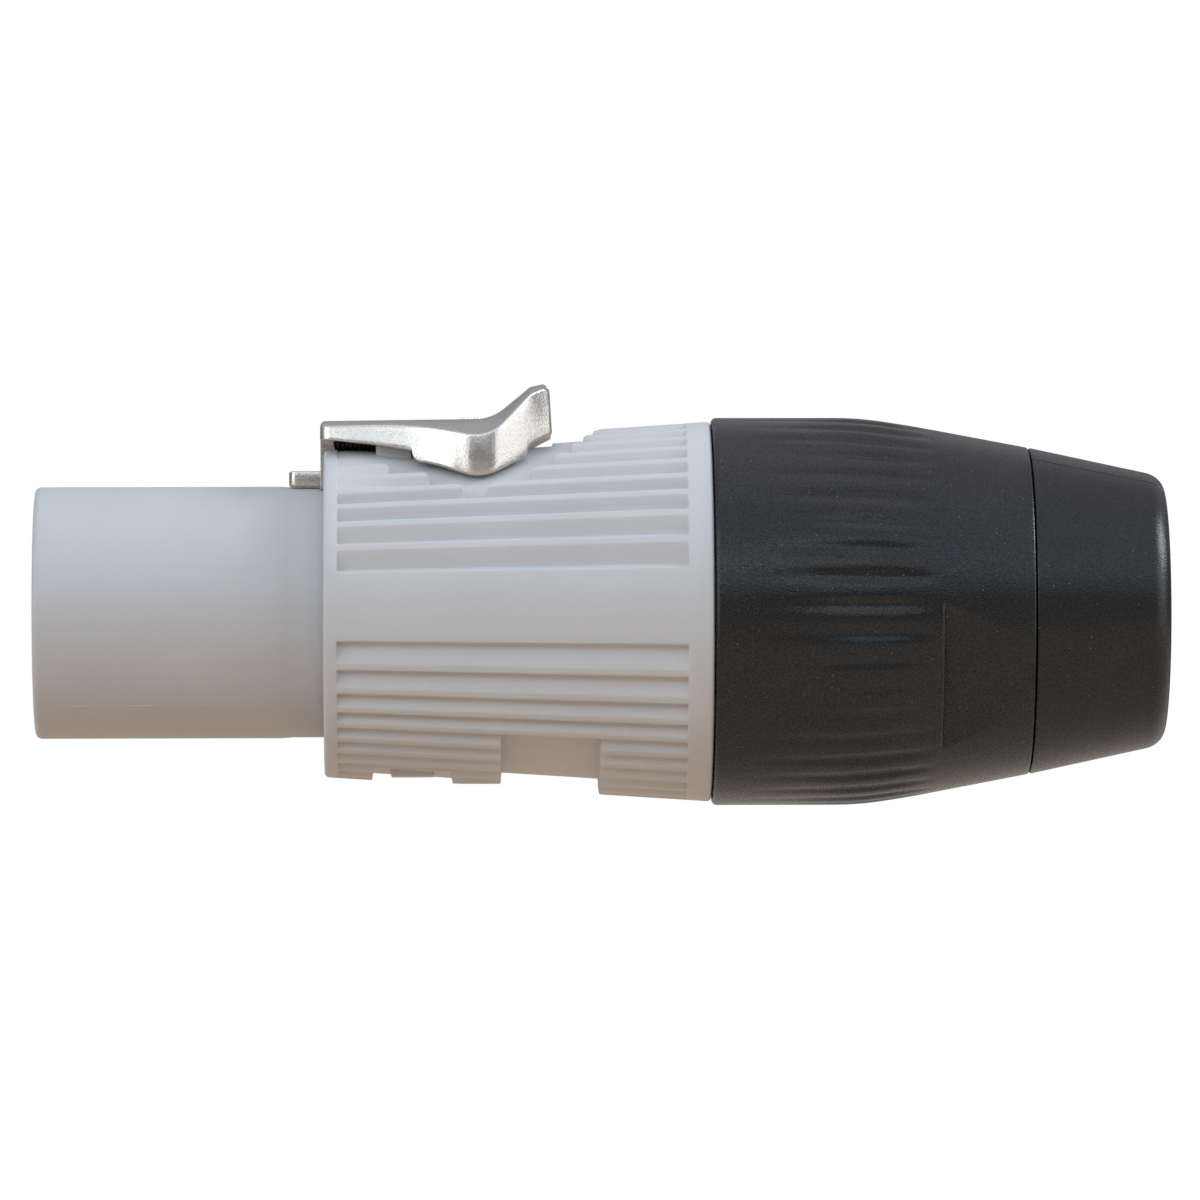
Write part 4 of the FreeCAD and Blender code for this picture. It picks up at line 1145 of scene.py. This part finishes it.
@dataclass
class CableBoot:
    """The soft boot at the cable end."""

    front: float = 69.70
    rear: float = 79.20
    radius: float = 11.47
    corner: tuple[tuple[float, float, float], ...] = ((78.45, 9.58, 2.0), (79.2, 8.85, 1.35))
    hole: float = 7.60
    socket: float = 9.45
    step: float = 72.2
    parting: tuple[float, ...] = (66.0, 114.0)
    seam_depth: float = 0.09
    seam_from: float = 8.6

    def seam(self, along: np.ndarray, radius: np.ndarray, around: np.ndarray) -> np.ndarray:
        """Return the depth of the mould's fine parting lines."""
        near = seam_gap(around, self.parting)
        return np.where((radius > self.seam_from) & (along > self.front) & (near < 0.1), -self.seam_depth, 0.0)

    def build(self, finish: bpy.types.Material) -> None:
        """Make the boot in its finish."""
        loop = rounded([
            (self.front, self.socket, 0.0), (self.front, self.radius, 0.16), *self.corner,
            (self.rear, self.hole, 0.45), (self.step, self.hole, 0.0), (self.step, self.socket, 0.0),
        ], steps=9)
        angles = ring_angles(2.0, self.parting, (-0.8, -0.5, 0.0, 0.5, 0.8))
        piece = turned("cable_boot", spaced(loop, 0.8), angles, self.seam)
        fit(piece, finish, Body.NUT, Slot.BOOT, "boot")


@dataclass
class InnerParts:
    """The solids that stay as they are: chuck, contacts and terminal screws."""

    def dress(self, node: str, finish: bpy.types.Material) -> None:
        """Give one solid its finish."""
        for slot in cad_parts[node].material_slots:
            slot.material = finish
        log.info("%s: dressed", node)

    def build(self) -> None:
        """Dress them all."""
        self.dress("chuck", MouldedPlastic("acetal", (0.72, 0.71, 0.67), roughness=0.4).material())
        silver = PlatedMetal("silver_plate", (0.8, 0.78, 0.72), 0.24, 0.1, 0.003).material()
        for node in ("contact_earth", "contact_line", "contact_neutral"):
            self.dress(node, silver)
        self.dress("terminal_screws", PlatedMetal("zinc_plate", (0.62, 0.62, 0.6), 0.34, 0.08, 0.004).material())


# ---------------------------------------------------------------- studio


@dataclass(frozen=True)
class Softbox:
    """A soft lamp that faces the connector: place, width and height in metres, power in watts."""

    name: str
    place: Spot
    width: float
    height: float
    power: float
    colour: Colour
    aim: Spot = (0.0396, 0.0, 0.0)

    def hang(self) -> None:
        """Hang the lamp."""
        data = bpy.data.lights.new(self.name, "AREA")
        data.shape = "RECTANGLE"
        data.energy, data.size, data.size_y, data.color = self.power, self.width, self.height, self.colour
        lamp = linked(self.name, data)
        lamp.visible_camera = False
        lamp.location = self.place
        lamp.rotation_euler = (Vector(self.aim) - Vector(self.place)).to_track_quat("-Z", "Y").to_euler()


@dataclass
class Studio:
    """A white studio: pale floor, soft lamps and the photograph's camera."""

    aim: Spot = (39.6, 0.0, 0.83)
    away: float = 727.0
    swing: float = 0.96
    rise: float = -1.9
    roll: float = 0.16
    lens: float = 310.4
    sensor: float = 36.0
    clip: tuple[float, float] = (0.01, 20.0)
    floor_height: float = -50.0
    floor_low: tuple[float, float] = (-0.6, -0.6)
    floor_high: tuple[float, float] = (0.68, 0.3)
    floor_lit: tuple[Colour, Colour] = ((0.56, 0.39, 0.26), (0.6, 0.43, 0.3))
    floor_seen: tuple[Colour, Colour] = ((0.68, 0.56, 0.44), (0.71, 0.59, 0.47))
    lamps: tuple[Softbox, ...] = (
        Softbox("lamp_left", (-0.465, -0.25, 0.15), 0.40, 0.40, 1.0, (0.88, 0.96, 1.0)),
        Softbox("lamp_right", (0.493, -0.18, 0.104), 0.34, 0.34, 0.56, (0.92, 0.97, 1.0)),
        Softbox("lamp_front", (-0.14, -0.95, 0.42), 1.30, 0.32, 1.2, (0.9, 0.97, 1.0)),
        Softbox("lamp_top", (0.0, 0.0, 0.6), 0.50, 0.50, 0.25, (0.98, 0.98, 1.0)),
        Softbox("lamp_end", (0.563, -0.017, 0.353), 0.22, 0.22, 1.9, (0.88, 0.93, 1.0)),
    )
    sky_front: tuple[tuple[float, Colour], ...] = (
        (0.5, (0.18, 0.18, 0.2)), (0.56, (0.1, 0.1, 0.11)), (0.7, (0.9, 1.06, 1.22)), (1.0, (0.89, 0.91, 1.0)),
    )
    sky_back: tuple[tuple[float, Colour], ...] = (
        (0.5, (0.22, 0.2, 0.19)), (0.6, (0.25, 0.24, 0.24)), (0.74, (0.5, 0.51, 0.58)), (0.88, (0.5, 0.5, 0.54)),
        (1.0, (0.65, 0.65, 0.68)),
    )
    sky_seam: tuple[float, float] = (-0.4, 0.4)
    backdrop: tuple[float, float] = (0.985, 0.998)

    def camera(self) -> None:
        """Set up the camera."""
        data = bpy.data.cameras.new("camera")
        data.lens = self.lens
        data.sensor_width = self.sensor
        data.clip_start, data.clip_end = self.clip
        camera = linked("camera", data)
        swing, rise = math.radians(self.swing), math.radians(self.rise)
        view = Vector((math.sin(swing) * math.cos(rise), math.cos(swing) * math.cos(rise), -math.sin(rise)))
        turn = view.to_track_quat("-Z", "Y").to_matrix().to_4x4() @ Matrix.Rotation(-math.radians(self.roll), 4, "Z")
        camera.matrix_world = Matrix.Translation((Vector(self.aim) - view * self.away) * MM) @ turn
        bpy.context.scene.camera = camera

    def floor(self) -> None:
        """Lay the pale floor below the connector."""
        (left, near), (right, far), height = self.floor_low, self.floor_high, self.floor_height * MM
        mesh = bpy.data.meshes.new("floor")
        corners = [(left, near, height), (right, near, height), (right, far, height), (left, far, height)]
        mesh.from_pydata(corners, [], [(0, 1, 2, 3)])
        floor = linked("floor", mesh)
        coat = Coat("floor_paper")
        paper = coat.noise(1.5, 3.0)
        lit, shown = (coat.ramp(paper, list(zip(NOISE, shades))) for shades in (self.floor_lit, self.floor_seen))
        colour = coat.mix(coat.seen("Camera", "Glossy", "Transmission"), lit, shown)
        mesh.materials.append(coat.finished({"Base Color": colour, "Roughness": 0.9}))

    def world(self) -> None:
        """Fill the studio with soft light, white where the camera, metal or gloss looks past the connector."""
        world = bpy.data.worlds.new("studio")
        world.use_nodes = True
        bpy.context.scene.world = world
        world.node_tree.nodes.clear()
        graph = Graph(world.node_tree, "Generated")
        split = graph.add("SeparateXYZ", {"Vector": graph.place})
        height = graph.span(split.outputs["Z"], -1.0, 1.0, curve=Curve.STRAIGHT)
        skies = [graph.ramp(height, sky) for sky in (self.sky_front, self.sky_back)]
        sky = graph.mix(graph.span(split.outputs["Y"], *self.sky_seam), *skies)
        behind = graph.span(split.outputs["Y"], *self.backdrop, curve=Curve.STRAIGHT)
        gloss = graph.reckon("MULTIPLY", graph.seen("Glossy", "Transmission"), behind)
        shown = graph.reckon("MAXIMUM", graph.seen("Camera"), gloss)
        soft = graph.add("Background", {"Color": sky}).outputs["Background"]
        white = graph.add("Background", {"Color": (1.0, 1.0, 1.0)}).outputs["Background"]
        both = graph.add("MixShader", {0: shown, 1: soft, 2: white}).outputs["Shader"]
        graph.add("OutputWorld", {"Surface": both})

    def build(self) -> None:
        """Set up the floor, world, lamps and camera."""
        bpy.context.scene.view_settings.view_transform = "Standard"
        self.camera()
        self.floor()
        self.world()
        for lamp in self.lamps:
            lamp.hang()


def main() -> None:
    """Build the connector piece by piece, then light it."""
    shell = HousingShell()
    NoseInsert().build(MouldedPlastic("insert_grey", (0.47, 0.475, 0.49)).material())
    shell.build(MouldedPlastic("housing_grey", (0.51, 0.515, 0.525)).material())
    Latch().build(PlatedMetal("satin_nickel", (0.63, 0.59, 0.54), 0.26, 0.14, 0.015).material(), shell)
    LatchSpring().build(PlatedMetal("spring_wire", (0.25, 0.22, 0.19), 0.4, 0.05, 0.002).material())
    ClampingNut().build(MouldedPlastic(
        "bushing_black", (0.005, 0.0052, 0.006), drift=0.3, roughness=0.27, specular=0.42, skin=0.12, relief=0.026,
        dust_share=0.3, spark=0.25,
    ).material())
    CableBoot().build(MouldedPlastic(
        "boot_black", (0.0045, 0.0045, 0.0054), drift=0.3, roughness=0.3, specular=0.4, skin=0.13, relief=0.024,
        dust_share=0.4, spark=0.2,
    ).material())
    InnerParts().build()
    Studio().build()


if __name__ == "__main__":
    main()
